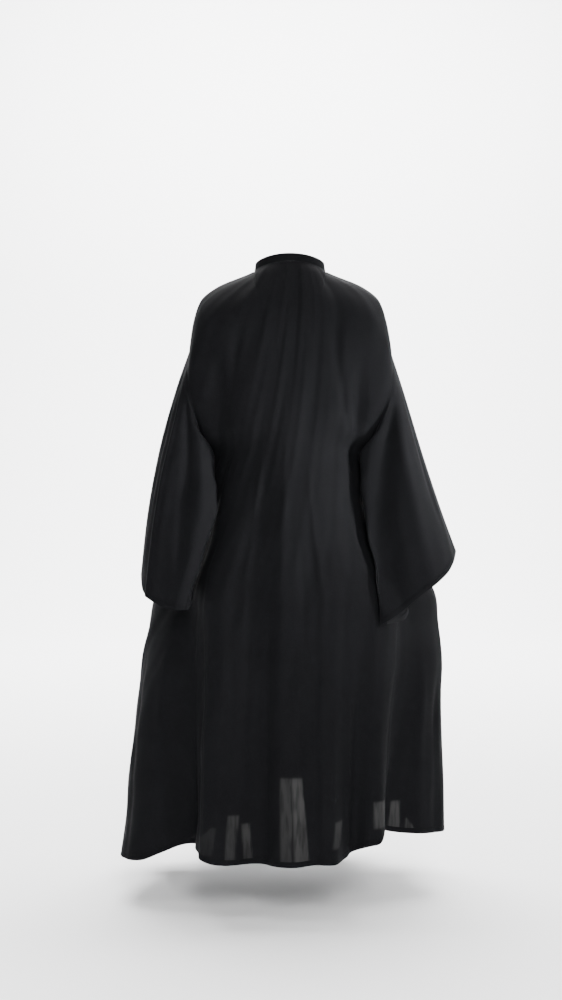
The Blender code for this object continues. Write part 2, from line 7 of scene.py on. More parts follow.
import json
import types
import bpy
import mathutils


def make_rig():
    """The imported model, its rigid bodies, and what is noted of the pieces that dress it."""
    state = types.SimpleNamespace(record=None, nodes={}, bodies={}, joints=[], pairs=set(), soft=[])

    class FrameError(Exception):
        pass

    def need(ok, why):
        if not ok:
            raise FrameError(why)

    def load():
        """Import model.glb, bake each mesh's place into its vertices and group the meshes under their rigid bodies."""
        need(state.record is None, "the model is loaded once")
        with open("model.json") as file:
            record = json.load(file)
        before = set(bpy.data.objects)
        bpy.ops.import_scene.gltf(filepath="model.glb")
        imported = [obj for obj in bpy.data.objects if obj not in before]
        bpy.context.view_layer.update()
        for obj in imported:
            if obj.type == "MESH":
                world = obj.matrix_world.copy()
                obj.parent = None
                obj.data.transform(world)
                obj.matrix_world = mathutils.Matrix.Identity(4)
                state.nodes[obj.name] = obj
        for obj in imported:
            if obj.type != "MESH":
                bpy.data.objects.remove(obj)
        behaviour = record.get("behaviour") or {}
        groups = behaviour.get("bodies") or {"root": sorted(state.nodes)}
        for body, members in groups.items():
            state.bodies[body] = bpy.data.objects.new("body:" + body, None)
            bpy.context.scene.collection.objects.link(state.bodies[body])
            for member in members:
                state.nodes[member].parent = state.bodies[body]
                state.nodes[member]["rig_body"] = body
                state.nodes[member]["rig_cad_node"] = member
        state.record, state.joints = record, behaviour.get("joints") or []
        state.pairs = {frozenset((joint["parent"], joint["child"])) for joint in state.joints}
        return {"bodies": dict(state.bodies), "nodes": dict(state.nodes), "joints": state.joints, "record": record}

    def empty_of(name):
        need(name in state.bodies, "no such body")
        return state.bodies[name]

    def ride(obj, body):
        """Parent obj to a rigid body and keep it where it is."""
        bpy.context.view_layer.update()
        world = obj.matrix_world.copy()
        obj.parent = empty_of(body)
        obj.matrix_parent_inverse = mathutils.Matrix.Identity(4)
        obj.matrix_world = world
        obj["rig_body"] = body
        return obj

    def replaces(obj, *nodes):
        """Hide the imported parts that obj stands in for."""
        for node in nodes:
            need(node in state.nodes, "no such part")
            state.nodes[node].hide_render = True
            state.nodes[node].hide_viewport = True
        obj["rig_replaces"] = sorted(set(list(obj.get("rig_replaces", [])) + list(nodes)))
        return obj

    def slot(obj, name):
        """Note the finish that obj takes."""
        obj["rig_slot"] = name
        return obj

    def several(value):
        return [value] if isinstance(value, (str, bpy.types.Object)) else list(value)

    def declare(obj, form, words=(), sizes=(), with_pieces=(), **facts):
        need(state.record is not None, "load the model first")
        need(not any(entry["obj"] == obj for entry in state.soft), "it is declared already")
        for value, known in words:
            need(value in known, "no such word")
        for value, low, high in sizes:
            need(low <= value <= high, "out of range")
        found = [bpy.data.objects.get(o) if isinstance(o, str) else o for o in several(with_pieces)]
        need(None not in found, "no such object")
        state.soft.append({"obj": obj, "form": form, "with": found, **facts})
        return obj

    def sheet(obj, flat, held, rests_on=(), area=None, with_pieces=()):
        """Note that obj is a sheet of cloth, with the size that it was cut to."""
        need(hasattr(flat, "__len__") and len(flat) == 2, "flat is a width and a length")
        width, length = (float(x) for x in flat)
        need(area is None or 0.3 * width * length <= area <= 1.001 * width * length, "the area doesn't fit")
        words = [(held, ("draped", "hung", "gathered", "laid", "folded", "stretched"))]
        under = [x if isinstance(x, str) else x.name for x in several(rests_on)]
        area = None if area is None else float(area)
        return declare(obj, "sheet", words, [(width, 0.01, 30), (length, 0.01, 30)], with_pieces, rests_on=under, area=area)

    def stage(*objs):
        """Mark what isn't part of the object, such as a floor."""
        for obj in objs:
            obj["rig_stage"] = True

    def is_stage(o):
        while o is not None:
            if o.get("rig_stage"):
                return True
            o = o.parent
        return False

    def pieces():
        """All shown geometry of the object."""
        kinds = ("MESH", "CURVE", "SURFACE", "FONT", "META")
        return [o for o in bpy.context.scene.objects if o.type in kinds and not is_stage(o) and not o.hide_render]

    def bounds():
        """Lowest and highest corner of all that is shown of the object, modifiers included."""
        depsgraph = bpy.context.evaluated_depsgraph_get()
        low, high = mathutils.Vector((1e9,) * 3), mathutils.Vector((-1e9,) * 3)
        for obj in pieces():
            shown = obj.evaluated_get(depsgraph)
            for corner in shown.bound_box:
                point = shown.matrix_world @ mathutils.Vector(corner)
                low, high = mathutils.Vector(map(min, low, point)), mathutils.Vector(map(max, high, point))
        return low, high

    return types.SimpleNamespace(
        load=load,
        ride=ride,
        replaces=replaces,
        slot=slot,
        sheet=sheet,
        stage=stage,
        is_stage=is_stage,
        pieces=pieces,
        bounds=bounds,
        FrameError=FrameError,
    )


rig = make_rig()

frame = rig.load()
cad_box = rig.bounds()

import json
import math
from collections import namedtuple
from functools import partial

import bpy
import mathutils
import numpy as np
from mathutils.bvhtree import BVHTree

# Cloth and seams, in metres
WALL = 0.0016
SEAM_GAP = 0.0003

# Neck and shoulders, in metres from the origin
NECK_HALF = 0.084
NECK_BACK = 0.064
NECK_FRONT = 0.086
NECK_BACK_RISE = 0.016
NECK_FRONT_DROP = 0.072
DROP_X = 0.238
DROP_Z = -0.189
BAND_HEIGHT = 0.018
BAND_LEAN = 0.16

# Underarm, armhole and front edges, in metres
UNDERARM_Z = -0.440
CENTRE_LEVEL_Z = -0.415
ARMHOLE_BACK = 0.098
ARMHOLE_FRONT = 0.088
ARMHOLE_WRAP = 0.62
LAP_INSET = 0.0030
LAP_EASE = 0.035
SLEEVE_CLEARANCE = 0.009
SLEEVE_OPENING = 0.100

# Grid counts
NECK_COLUMNS = 7
SHOULDER_COLUMNS = 15
ARMHOLE_ROWS = 11
SKIRT_ROWS = 16
SLEEVE_ROWS = 14
BAND_ROWS = 2

# Angles, in degrees from the middle of the back or of the front
NECK_TURN = 20.6
EDGE_TURN = 90.0

BACK, FRONT = 1, -1
LEFT, RIGHT = 1, -1
HALF = {BACK: "back", FRONT: "front"}
WORD = {LEFT: "left", RIGHT: "right"}

# Shape of the panels: how their rows crowd towards the top, how the armhole curves in, and from what height
# the folds take the depth that they have at the hem, over how much height
UPPER_CROWDING = 1.35
SLEEVE_CROWDING = 1.3
ARMHOLE_CURVE = 1.7
HEM_FOLDS_Z = -0.9
HEM_FOLDS_SPAN = 0.42

# Roll of the cloth off the shoulder seam, in metres: its height at the neck, how much less at the side, and
# over what height the section reaches its full width
ROLL = 0.11
ROLL_LESS = 0.05
SPREAD = 0.16

# The side seams hold the folds back from this angle on, over so many degrees
HELD_TURN = 62.0
HELD_SPAN = 28.0

# Length of the sum of two unit normals from which a seam counts as folded back, and over what span
FOLDED_FROM = 1.6
FOLDED_SPAN = 0.8

# Rounds in which a sleeve is pushed off the body, and those of them that smooth what was pushed
CLEARING_ROUNDS = 12
SMOOTHING_ROUNDS = 9

# Shoulder seam seen from behind: its height at each distance out from the neck
Shoulder = namedtuple("Shoulder", "out height")
SHOULDER = [
    Shoulder(0.084, 0.000),
    Shoulder(0.120, -0.014),
    Shoulder(0.160, -0.030),
    Shoulder(0.190, -0.048),
    Shoulder(0.209, -0.066),
    Shoulder(0.222, -0.096),
    Shoulder(0.231, -0.137),
    Shoulder(0.238, -0.189),
]

# Depth of the cloth behind and in front of the shoulder line, by height
Depth = namedtuple("Depth", "height back front")
DEPTH = [
    Depth(-1.400, 0.342, 0.374),
    Depth(-1.000, 0.268, 0.288),
    Depth(-0.600, 0.196, 0.206),
    Depth(-0.350, 0.150, 0.158),
    Depth(-0.200, 0.128, 0.134),
    Depth(-0.100, 0.112, 0.112),
    Depth(0.050, 0.086, 0.084),
]

# Side seams below the underarm: half widths on the wearer's left and right, and how far back the seam lies
Side = namedtuple("Side", "height left right back")
SIDE = [
    Side(-1.360, 0.386, 0.356, -0.010),
    Side(-1.300, 0.374, 0.350, -0.014),
    Side(-1.130, 0.362, 0.350, -0.026),
    Side(-1.010, 0.353, 0.352, -0.036),
    Side(-0.890, 0.345, 0.360, -0.046),
    Side(-0.774, 0.334, 0.358, -0.056),
    Side(-0.650, 0.274, 0.278, -0.060),
    Side(-0.540, 0.226, 0.214, -0.034),
    Side(-0.440, 0.188, 0.172, 0.000),
]

# Hem height by angle round the body, from the middle of the back, positive to the wearer's left
Hem = namedtuple("Hem", "angle height")
HEM = [
    Hem(-180, -1.274),
    Hem(-150, -1.292),
    Hem(-120, -1.304),
    Hem(-90, -1.312),
    Hem(-76, -1.306),
    Hem(-62, -1.296),
    Hem(-54, -1.286),
    Hem(-46, -1.267),
    Hem(-40, -1.267),
    Hem(-34, -1.286),
    Hem(-28, -1.294),
    Hem(-24, -1.305),
    Hem(-18, -1.312),
    Hem(0, -1.317),
    Hem(20, -1.320),
    Hem(27, -1.314),
    Hem(34, -1.303),
    Hem(40, -1.304),
    Hem(48, -1.309),
    Hem(54, -1.328),
    Hem(60, -1.346),
    Hem(75, -1.348),
    Hem(90, -1.338),
    Hem(120, -1.312),
    Hem(150, -1.294),
    Hem(180, -1.274),
]

# Folds of the body, by angle round it. Heights are where a fold starts and where it is fully formed.
Fold = namedtuple("Fold", "angle upper_angle width start full depth hem_depth")
FOLDS = [
    Fold(68, 78, 13, -0.55, -1.30, 0.020, 0.030),
    Fold(44, 54, 9, -0.50, -0.95, -0.036, -0.076),
    Fold(27, 30, 8, -0.30, -1.20, 0.016, 0.026),
    Fold(12, 16, 7, -0.30, -1.10, -0.020, -0.026),
    Fold(-1, 0, 8, -0.45, -1.20, 0.012, 0.016),
    Fold(-9, -9, 4, -0.45, -1.10, -0.009, -0.010),
    Fold(-14, -18, 5, -0.60, -1.25, 0.010, 0.020),
    Fold(-25, -29, 6, -0.60, -1.20, -0.018, -0.034),
    Fold(-34, -38, 6, -0.85, -1.25, 0.014, 0.012),
    Fold(-54, -58, 14, -0.50, -1.00, -0.042, -0.088),
    Fold(-84, -86, 9, -0.60, -1.20, 0.010, 0.014),
    Fold(104, 100, 9, -0.60, -1.10, -0.020, -0.030),
    Fold(120, 116, 9, -0.50, -1.20, 0.024, 0.034),
    Fold(137, 136, 8, -0.40, -1.10, -0.030, -0.044),
    Fold(154, 152, 8, -0.35, -1.20, 0.020, 0.030),
    Fold(168, 168, 6, -0.40, -1.20, -0.014, -0.022),
    Fold(-168, -168, 7, -0.45, -1.20, -0.016, -0.024),
    Fold(-152, -153, 8, -0.30, -1.15, 0.022, 0.034),
    Fold(-134, -138, 9, -0.40, -1.10, -0.032, -0.046),
    Fold(-117, -116, 9, -0.55, -1.20, 0.020, 0.028),
    Fold(-102, -100, 7, -0.60, -1.20, -0.016, -0.024),
]

# Hollows in the body where a sleeve lies against it, the creases that run from the shoulders to the underarm,
# and, below zero, the fullness that hangs in front of each arm
Press = namedtuple("Press", "angle width top deepest bottom depth")
PRESSES = [
    Press(66, 20, -0.44, -0.66, -0.98, 0.050),
    Press(-66, 20, -0.44, -0.66, -0.98, 0.050),
    Press(61, 9, -0.15, -0.34, -0.50, 0.014),
    Press(-61, 9, -0.15, -0.34, -0.50, 0.014),
    Press(128, 10, -0.14, -0.32, -0.52, 0.012),
    Press(-130, 10, -0.14, -0.32, -0.52, 0.012),
    Press(116, 17, -0.22, -0.47, -0.78, -0.052),
    Press(-116, 17, -0.22, -0.47, -0.78, -0.054),
]

# Sleeve rings from the armhole to the cuff. "over" is the seam along the top of the arm and "under" the seam
# below it; x is the distance out from the middle. back and front are how far the ring swells each way, tuck
# is how far its back half folds in over the body, and the dips are how low the cuff hangs between the seams.
Ring = namedtuple(
    "Ring", "along over_x over_y over_z under_x under_y under_z back front tuck dip_back dip_front"
)
LEFT_SLEEVE = [
    Ring(0.00, 0.238, 0.000, -0.189, 0.188, 0.000, -0.440, 0.098, 0.088, 0.000, 0.000, 0.000),
    Ring(0.22, 0.266, 0.022, -0.276, 0.188, 0.036, -0.476, 0.086, 0.070, 0.040, 0.000, 0.000),
    Ring(0.50, 0.304, 0.054, -0.425, 0.192, 0.074, -0.556, 0.094, 0.062, 0.046, 0.002, 0.002),
    Ring(0.76, 0.330, 0.084, -0.585, 0.208, 0.104, -0.665, 0.092, 0.060, 0.026, 0.020, 0.014),
    Ring(1.00, 0.342, 0.098, -0.710, 0.218, 0.116, -0.744, 0.088, 0.068, 0.008, 0.052, 0.036),
]
RIGHT_SLEEVE = [
    Ring(0.00, 0.238, 0.000, -0.189, 0.172, 0.000, -0.440, 0.098, 0.088, 0.000, 0.000, 0.000),
    Ring(0.22, 0.266, 0.020, -0.282, 0.174, 0.036, -0.480, 0.086, 0.070, 0.052, 0.000, 0.000),
    Ring(0.50, 0.309, 0.048, -0.434, 0.168, 0.074, -0.590, 0.096, 0.062, 0.066, 0.000, 0.000),
    Ring(0.76, 0.350, 0.074, -0.566, 0.168, 0.114, -0.726, 0.098, 0.056, 0.050, 0.008, 0.010),
    Ring(1.00, 0.382, 0.084, -0.656, 0.176, 0.134, -0.822, 0.090, 0.066, 0.004, 0.022, 0.020),
]

# Folds that run down a sleeve, by angle from the top seam round to the one below
Pleat = namedtuple("Pleat", "angle width start full depth")
SLEEVE_FOLDS = {
    (LEFT, BACK): [Pleat(78, 20, 0.18, 0.62, -0.012), Pleat(128, 18, 0.30, 0.90, 0.010)],
    (LEFT, FRONT): [Pleat(60, 20, 0.25, 0.90, 0.010), Pleat(104, 18, 0.25, 0.90, -0.012)],
    (RIGHT, BACK): [Pleat(52, 18, 0.20, 0.90, 0.010), Pleat(104, 20, 0.20, 0.80, -0.014)],
    (RIGHT, FRONT): [Pleat(66, 18, 0.25, 0.90, -0.012), Pleat(118, 20, 0.25, 0.90, 0.010)],
}


def ease(share):
    """0 to 1 with a soft start and end."""
    share = np.clip(share, 0.0, 1.0)
    return share * share * (3.0 - 2.0 * share)


def column(table, name):
    return np.array([getattr(row, name) for row in table], float)


def through(table, key, name, at):
    """Reads a smooth curve through one named column of a table, which never overshoots its rows."""
    knots, values = column(table, key), column(table, name)
    steps = np.diff(knots)
    slopes = np.diff(values) / steps
    before, after = slopes[:-1], slopes[1:]
    bends = np.zeros_like(values)
    same_way = before * after > 0
    bends[1:-1][same_way] = (2 * before * after)[same_way] / (before + after)[same_way]
    bends[0], bends[-1] = slopes[0], slopes[-1]
    at = np.clip(at, knots[0], knots[-1])
    k = np.clip(np.searchsorted(knots, at, side="right") - 1, 0, len(steps) - 1)
    f = (at - knots[k]) / steps[k]
    ends = values[k] * (1 + 2 * f) * (1 - f) ** 2 + values[k + 1] * f * f * (3 - 2 * f)
    return ends + steps[k] * f * (1 - f) * (bends[k] * (1 - f) - bends[k + 1] * f)


def bump(distance, width):
    return np.exp(-((distance / width) ** 2))


def unit(vectors):
    return vectors / np.maximum(np.linalg.norm(vectors, axis=-1, keepdims=True), 1e-12)


def angle_off(angle, middle):
    """Degrees from one angle to another round the body, the shorter way."""
    return (angle - middle + 180.0) % 360.0 - 180.0


def column_turns():
    """Angles of a half panel's columns, from the middle out to the side seam."""
    neck = np.linspace(0.0, NECK_TURN, NECK_COLUMNS + 1)
    shoulder = np.linspace(NECK_TURN, EDGE_TURN, SHOULDER_COLUMNS + 1)
    return np.concatenate([neck, shoulder[1:]])


def row_shares():
    """Rows from the top edge (0) to the underarm level (1) and on to the hem (2)."""
    upper = (np.arange(ARMHOLE_ROWS + 1) / ARMHOLE_ROWS) ** UPPER_CROWDING
    skirt = 1.0 + np.arange(1, SKIRT_ROWS + 1) / SKIRT_ROWS
    return np.concatenate([upper, skirt])


def top_edge(turns, side, facing):
    """Points of the neck and shoulder line, one for each column."""
    round_neck = np.radians(90.0 * np.clip(turns / NECK_TURN, 0.0, 1.0))
    neck_depth = NECK_BACK if facing == BACK else NECK_FRONT
    neck_rise = NECK_BACK_RISE if facing == BACK else -NECK_FRONT_DROP
    on_neck = turns <= NECK_TURN
    neck_sine = np.sin(np.radians(NECK_TURN))
    out = DROP_X * np.sin(np.radians(turns)) / np.sin(np.radians(EDGE_TURN))
    past_neck = (out - DROP_X * neck_sine) / (DROP_X * (1.0 - neck_sine))
    out = NECK_HALF + (DROP_X - NECK_HALF) * past_neck
    x = np.where(on_neck, NECK_HALF * np.sin(round_neck), out)
    y = np.where(on_neck, facing * neck_depth * np.cos(round_neck), 0.0)
    z = np.where(on_neck, neck_rise * np.cos(round_neck) ** 1.5, through(SHOULDER, "out", "height", out))
    return np.stack([side * x, y, z], axis=-1)


def edge_line(side, facing, shares):
    """The armhole seam down to the underarm, then the side seam: distance out, depth and height by row."""
    down = np.clip(shares, 0.0, 1.0)
    skirt = np.clip(shares - 1.0, 0.0, 1.0)
    hem_z = through(HEM, "angle", "height", np.array([side * EDGE_TURN]))[0]
    height = DROP_Z + (UNDERARM_Z - DROP_Z) * down + (hem_z - UNDERARM_Z) * skirt
    underarm_x = through(SIDE, "height", WORD[side], np.array([UNDERARM_Z]))[0]
    armhole_x = DROP_X + (underarm_x - DROP_X) * down**ARMHOLE_CURVE
    armhole_half = ARMHOLE_BACK if facing == BACK else ARMHOLE_FRONT
    armhole_y = facing * armhole_half * np.sqrt(np.clip(1.0 - (2.0 * down - 1.0) ** 2, 0.0, 1.0))
    below = shares > 1.0
    out = np.where(below, through(SIDE, "height", WORD[side], height), armhole_x)
    depth = np.where(below, through(SIDE, "height", "back", height), armhole_y)
    return out, depth, height


def fold_depth(angle, height):
    """How far the body's folds move the cloth out (or in, below zero)."""
    total = np.zeros_like(height)
    for fold in FOLDS:
        formed = ease((fold.start - height) / (fold.start - fold.full))
        low = ease((HEM_FOLDS_Z - height) / HEM_FOLDS_SPAN)
        centre = fold.upper_angle + (fold.angle - fold.upper_angle) * formed
        depth = fold.depth + (fold.hem_depth - fold.depth) * low
        total += depth * formed * bump(angle_off(angle, centre), fold.width)
    return total


def press_depth(angle, height):
    """How far a sleeve presses the body in, and how deep the creases above the underarm are."""
    total = np.zeros_like(height)
    for press in PRESSES:
        falling = ease((press.top - height) / (press.top - press.deepest))
        rising = ease((height - press.bottom) / (press.deepest - press.bottom))
        total += press.depth * falling * rising * bump(angle_off(angle, press.angle), press.width)
    return total


def body_points(turns, side, facing):
    """The cloth's outer face over one quarter of the body, as rows by columns of points."""
    shares = row_shares()[:, None]
    turns = np.asarray(turns, float)
    turn = np.radians(turns)[None, :]
    top_x, top_y, top_z = np.moveaxis(top_edge(turns, side, facing), -1, 0)[:, None, :]
    edge_x, edge_y, _ = edge_line(side, facing, shares)
    angle = side * turns if facing == BACK else side * (180.0 - turns)
    hem_z = through(HEM, "angle", "height", angle)[None, :]
    to_edge = (np.sin(turn)) ** 3
    level_z = CENTRE_LEVEL_Z + (UNDERARM_Z - CENTRE_LEVEL_Z) * to_edge
    down = np.clip(shares, 0.0, 1.0)
    skirt = np.clip(shares - 1.0, 0.0, 1.0)
    z = top_z + (level_z - top_z) * down + (hem_z - level_z) * skirt
    middle_y = facing * through(DEPTH, "height", HALF[facing], z)
    # Beside the armhole the section ends before it has turned to the side, and the sleeve runs on from it.
    wrap = ARMHOLE_WRAP + (1.0 - ARMHOLE_WRAP) * ease((shares - 0.45) / 0.55)
    ring_x = edge_x * np.sin(wrap * turn) / np.sin(wrap * np.pi / 2.0)
    flat = np.cos(wrap * np.pi / 2.0)
    ring_y = edge_y + (middle_y - edge_y) * (np.cos(wrap * turn) - flat) / (1.0 - flat)

    # Over the shoulder the cloth leaves the seam level and rolls down the back or the front.
    roll = ROLL - ROLL_LESS * to_edge
    fallen = np.clip((top_z - z) / roll, 0.0, 1.0)
    power = 1.35 + 0.65 * np.clip(turns / NECK_TURN, 0.0, 1.0)[None, :]
    rolled = (1.0 - (1.0 - fallen) ** power) ** (1.0 / power)
    spread = ease((top_z - z) / SPREAD)
    x = np.abs(top_x) + (ring_x - np.abs(top_x)) * spread
    y = top_y + (ring_y - top_y) * rolled

    angles = np.broadcast_to(angle[None, :], z.shape)
    move = fold_depth(angles, z) - press_depth(angles, z)
    normal_x = np.sin(wrap * turn) / np.maximum(edge_x, 0.1)
    normal_y = np.cos(wrap * turn) / np.maximum(np.abs(middle_y - edge_y), 0.1)
    size = np.hypot(normal_x, normal_y)
    held = ease((turns[None, :] - HELD_TURN) / HELD_SPAN) * (1.0 - ease((shares - 1.0) / 0.22))
    move = move * (1.0 - held)
    x = x + move * normal_x / size
    y = y + facing * move * normal_y / size
    return np.stack([side * x, y, z], axis=-1)


def back_grid():
    turns = column_turns()
    right = body_points(turns[::-1], RIGHT, BACK)
    left = body_points(turns, LEFT, BACK)
    return np.concatenate([right[:, :-1], left], axis=1)


def front_grid(side):
    """From the side seam to the front edge, which passes the middle by half the overlap."""
    turns = column_turns()
    grid = body_points(turns[::-1], side, FRONT)
    past_middle = body_points(turns[1:2], -side, FRONT)
    grid = np.concatenate([grid, past_middle], axis=1)
    if side == LEFT:
        reach = np.max(past_middle[:, :, 0] * -side)
        under = ease((LAP_EASE + reach - grid[:, :, 0]) / LAP_EASE)
        grid = grid - grid_normals(grid, (0, -1, 0)) * (LAP_INSET * under)[..., None]
    return grid


def sleeve_shares():
    """Rows from the armhole (0) to the cuff (1), closer together near the armhole."""
    return np.linspace(0.0, 1.0, SLEEVE_ROWS + 1) ** SLEEVE_CROWDING


def sleeve_grid(side, facing, armhole):
    """From the armhole to the cuff in rows, and from the top seam to the seam below in columns."""
    table = LEFT_SLEEVE if side == LEFT else RIGHT_SLEEVE
    along = sleeve_shares()[:, None]
    down = row_shares()[: ARMHOLE_ROWS + 1][None, :]
    ring_angle = np.arccos(np.clip(1.0 - 2.0 * down, -1.0, 1.0))

    def place(prefix):
        parts = [through(table, "along", prefix + axis, along) for axis in ("_x", "_y", "_z")]
        parts[0] = side * parts[0]
        return np.stack(parts, axis=-1)

    over, under = place("over"), place("under")
    swell = through(table, "along", HALF[facing], along)
    dip = through(table, "along", "dip_" + HALF[facing], along)
    centre, reach = (over + under) / 2.0, (over - under) / 2.0
    grid = centre + reach * np.cos(ring_angle)[..., None]
    grid[..., 1] += facing * swell * np.sin(ring_angle)
    grid[..., 2] -= dip * np.sin(ring_angle) ** 0.8
    if facing == BACK:
        tuck = through(table, "along", "tuck", along)
        grid[..., 0] -= side * tuck * np.sin(ring_angle) * (1.0 - np.cos(ring_angle)) ** 2.5 / 2.83

    flat = np.zeros_like(ring_angle)
    out = np.stack([side * np.cos(ring_angle), facing * np.sin(ring_angle), flat], axis=-1)
    for fold in SLEEVE_FOLDS[side, facing]:
        formed = ease((along - fold.start) / (fold.full - fold.start))
        away = formed * fold.depth * bump(np.degrees(ring_angle) - fold.angle, fold.width)
        away = away * np.sin(ring_angle)
        grid = grid + away[..., None] * out
    joined = 1.0 - ease(along / 0.45)
    return grid + (armhole[None] - grid[:1]) * joined[..., None]


def surface_tree(grids):
    """A search tree over the outer faces of several panels, with all faces turned outwards."""
    points, faces = [], []
    for grid, outward in grids:
        rows, columns = grid.shape[:2]
        start = len(points)
        points.extend(map(tuple, grid.reshape(-1, 3)))
        for r in range(rows - 1):
            for c in range(columns - 1):
                corner = start + r * columns + c
                face = (corner, corner + columns, corner + columns + 1, corner + 1)
                faces.append(face if outward else face[::-1])
    return BVHTree.FromPolygons(points, faces)


def beside(grid):
    """The sum of the four neighbours of each inner point of a grid."""
    return grid[:-2, 1:-1] + grid[2:, 1:-1] + grid[1:-1, :-2] + grid[1:-1, 2:]


def kept_clear(grid, tree, clearance):
    """Moves the points of a sleeve off the body until each is clear of it by its row's clearance."""
    grid = grid.copy()
    for turn in range(CLEARING_ROUNDS):
        push = np.zeros_like(grid)
        for r in range(1, grid.shape[0]):
            for c in range(grid.shape[1]):
                near, normal, _, _ = tree.find_nearest(tuple(grid[r, c]))
                normal = np.array(normal)
                off = grid[r, c] - np.array(near)
                away = np.linalg.norm(off)
                above = np.dot(off, normal)
                inside = above < 0.0 and -above > 0.6 * away
                if inside or away < clearance[r]:
                    push[r, c] = normal * (clearance[r] - above)
        grid = grid + push
        if turn < SMOOTHING_ROUNDS:
            pushed = (np.linalg.norm(push, axis=-1) > 0.0).astype(float)
            share = 0.5 * np.minimum(pushed[1:-1, 1:-1] + beside(pushed), 1.0)[..., None]
            grid[1:-1, 1:-1] += (beside(grid) / 4.0 - grid[1:-1, 1:-1]) * share
    return grid


def grid_normals(grid, outward):
    """Unit normals of a grid of points, all on the side that outward points to."""
    faces = unit(np.cross(grid[1:, 1:] - grid[:-1, :-1], grid[1:, :-1] - grid[:-1, 1:]))
    normal = np.zeros_like(grid)
    upper, lower = slice(None, -1), slice(1, None)
    for corner in ((upper, upper), (lower, upper), (upper, lower), (lower, lower)):
        normal[corner] += faces
    normal = unit(normal)
    middle = tuple(n // 2 for n in grid.shape[:2])
    return normal if np.dot(normal[middle], outward) > 0 else -normal


def share_normals(normals, one, other):
    """Gives two edges that meet in a seam one normal, less so the more the cloth folds back there.

    An edge is (panel, row slice, column slice).
    """
    first, second = normals[one[0]][one[1:]], normals[other[0]][other[1:]]
    mean = first + second
    folded = ease((FOLDED_FROM - np.linalg.norm(mean, axis=-1, keepdims=True)) / FOLDED_SPAN)
    mean = unit(mean)
    for (panel, *at), own in ((one, first), (other, second)):
        normals[panel][tuple(at)] = unit(mean + (own - mean) * folded)


# Finer cloth: how many times each cell of a panel is divided, across and down
FINER = {"back": (4, 6), "front": (4, 6), "sleeve": (6, 8)}
SHELL = 0.0009

# Small folds. A crease runs between two places, each an angle and how far down it is: a height on the body,
# and on a sleeve the share of the way from the armhole (0) to the cuff (1), with angles from the seam on top.
# Width is in degrees, and a depth below zero is a trough. Columns: angle, start, to_angle, end, width, depth.
BODY_CREASES = [
    (3, -0.30, 4, -1.33, 2.2, 0.0035),
    (8, -0.62, 9, -1.33, 1.6, -0.0030),
    (-4, -0.52, -6, -1.33, 1.5, -0.0026),
    (19, -0.36, 17, -1.10, 1.9, 0.0032),
    (23, -0.70, 20, -1.33, 1.5, -0.0034),
    (32, -0.80, 29, -1.33, 1.4, 0.0036),
    (38, -0.58, 33, -1.33, 1.8, -0.0042),
    (58, -0.84, 53, -1.33, 2.0, 0.0040),
    (75, -0.86, 66, -1.33, 1.6, -0.0036),
    (83, -0.80, 78, -1.33, 1.8, 0.0034),
    (-12, -0.40, -11, -1.20, 1.7, 0.0034),
    (-20, -0.58, -18, -1.33, 1.8, -0.0034),
    (-24, -0.86, -22, -1.33, 1.2, 0.0030),
    (-33, -0.50, -30, -1.33, 1.6, 0.0036),
    (-45, -0.90, -42, -1.33, 1.7, -0.0038),
    (-66, -0.86, -68, -1.33, 1.9, 0.0042),
    (-76, -0.92, -76, -1.33, 1.6, -0.0034),
    (96, -0.70, 97, -1.33, 1.9, 0.0036),
    (111, -0.56, 112, -1.33, 1.7, -0.0036),
    (129, -0.62, 128, -1.33, 1.6, 0.0036),
    (146, -0.50, 145, -1.33, 1.8, -0.0036),
    (161, -0.60, 161, -1.30, 1.5, 0.0030),
    (-94, -0.74, -94, -1.33, 1.8, 0.0034),
    (-110, -0.60, -109, -1.33, 1.6, -0.0036),
    (-126, -0.70, -125, -1.33, 1.7, 0.0036),
    (-143, -0.48, -143, -1.33, 1.9, -0.0038),
    (-160, -0.64, -160, -1.30, 1.5, 0.0030),
    (34, -0.06, 52, -0.34, 4.5, -0.0040),
    (-30, -0.08, -48, -0.36, 4.5, -0.0042),
    (148, -0.08, 130, -0.36, 4.5, -0.0040),
    (-146, -0.08, -132, -0.38, 4.5, -0.0040),
]

SLEEVE_CREASES = {
    (LEFT, BACK): [
        (30, 0.02, 28, 0.62, 6, -0.0030),
        (56, 0.02, 44, 1.05, 3.2, 0.0036),
        (72, 0.06, 97, 0.72, 9, -0.0085),
        (94, 0.12, 113, 0.62, 6, 0.0040),
        (118, 0.66, 108, 1.00, 6, 0.0030),
        (148, 0.55, 138, 1.00, 6, -0.0032),
    ],
    (LEFT, FRONT): [
        (40, 0.08, 46, 0.80, 7, -0.0036),
        (82, 0.25, 76, 1.00, 7, 0.0036),
        (126, 0.40, 120, 1.00, 7, -0.0036),
    ],
    (RIGHT, BACK): [
        (26, 0.06, 30, 0.70, 6, -0.0028),
        (62, 0.24, 68, 0.96, 8, 0.0048),
        (70, 0.06, 110, 0.80, 15, -0.0120),
        (94, 0.68, 106, 1.02, 8, -0.0050),
        (140, 0.62, 136, 1.00, 6, -0.0040),
    ],
    (RIGHT, FRONT): [
        (44, 0.10, 50, 0.85, 7, -0.0036),
        (88, 0.28, 84, 1.00, 7, 0.0036),
        (130, 0.42, 124, 1.00, 7, -0.0036),
    ],
}

# Soft unevenness of the whole cloth: waves by direction, in waves per metre, and height
Wave = namedtuple("Wave", "across up turn height")
WAVES = [
    Wave(5.2, 1.7, 0.3, 0.0010),
    Wave(9.1, 2.6, 1.9, 0.0008),
    Wave(15.3, 4.4, 4.1, 0.0006),
    Wave(7.3, 6.1, 2.7, 0.0005),
    Wave(26.0, 7.5, 5.2, 0.0003),
]

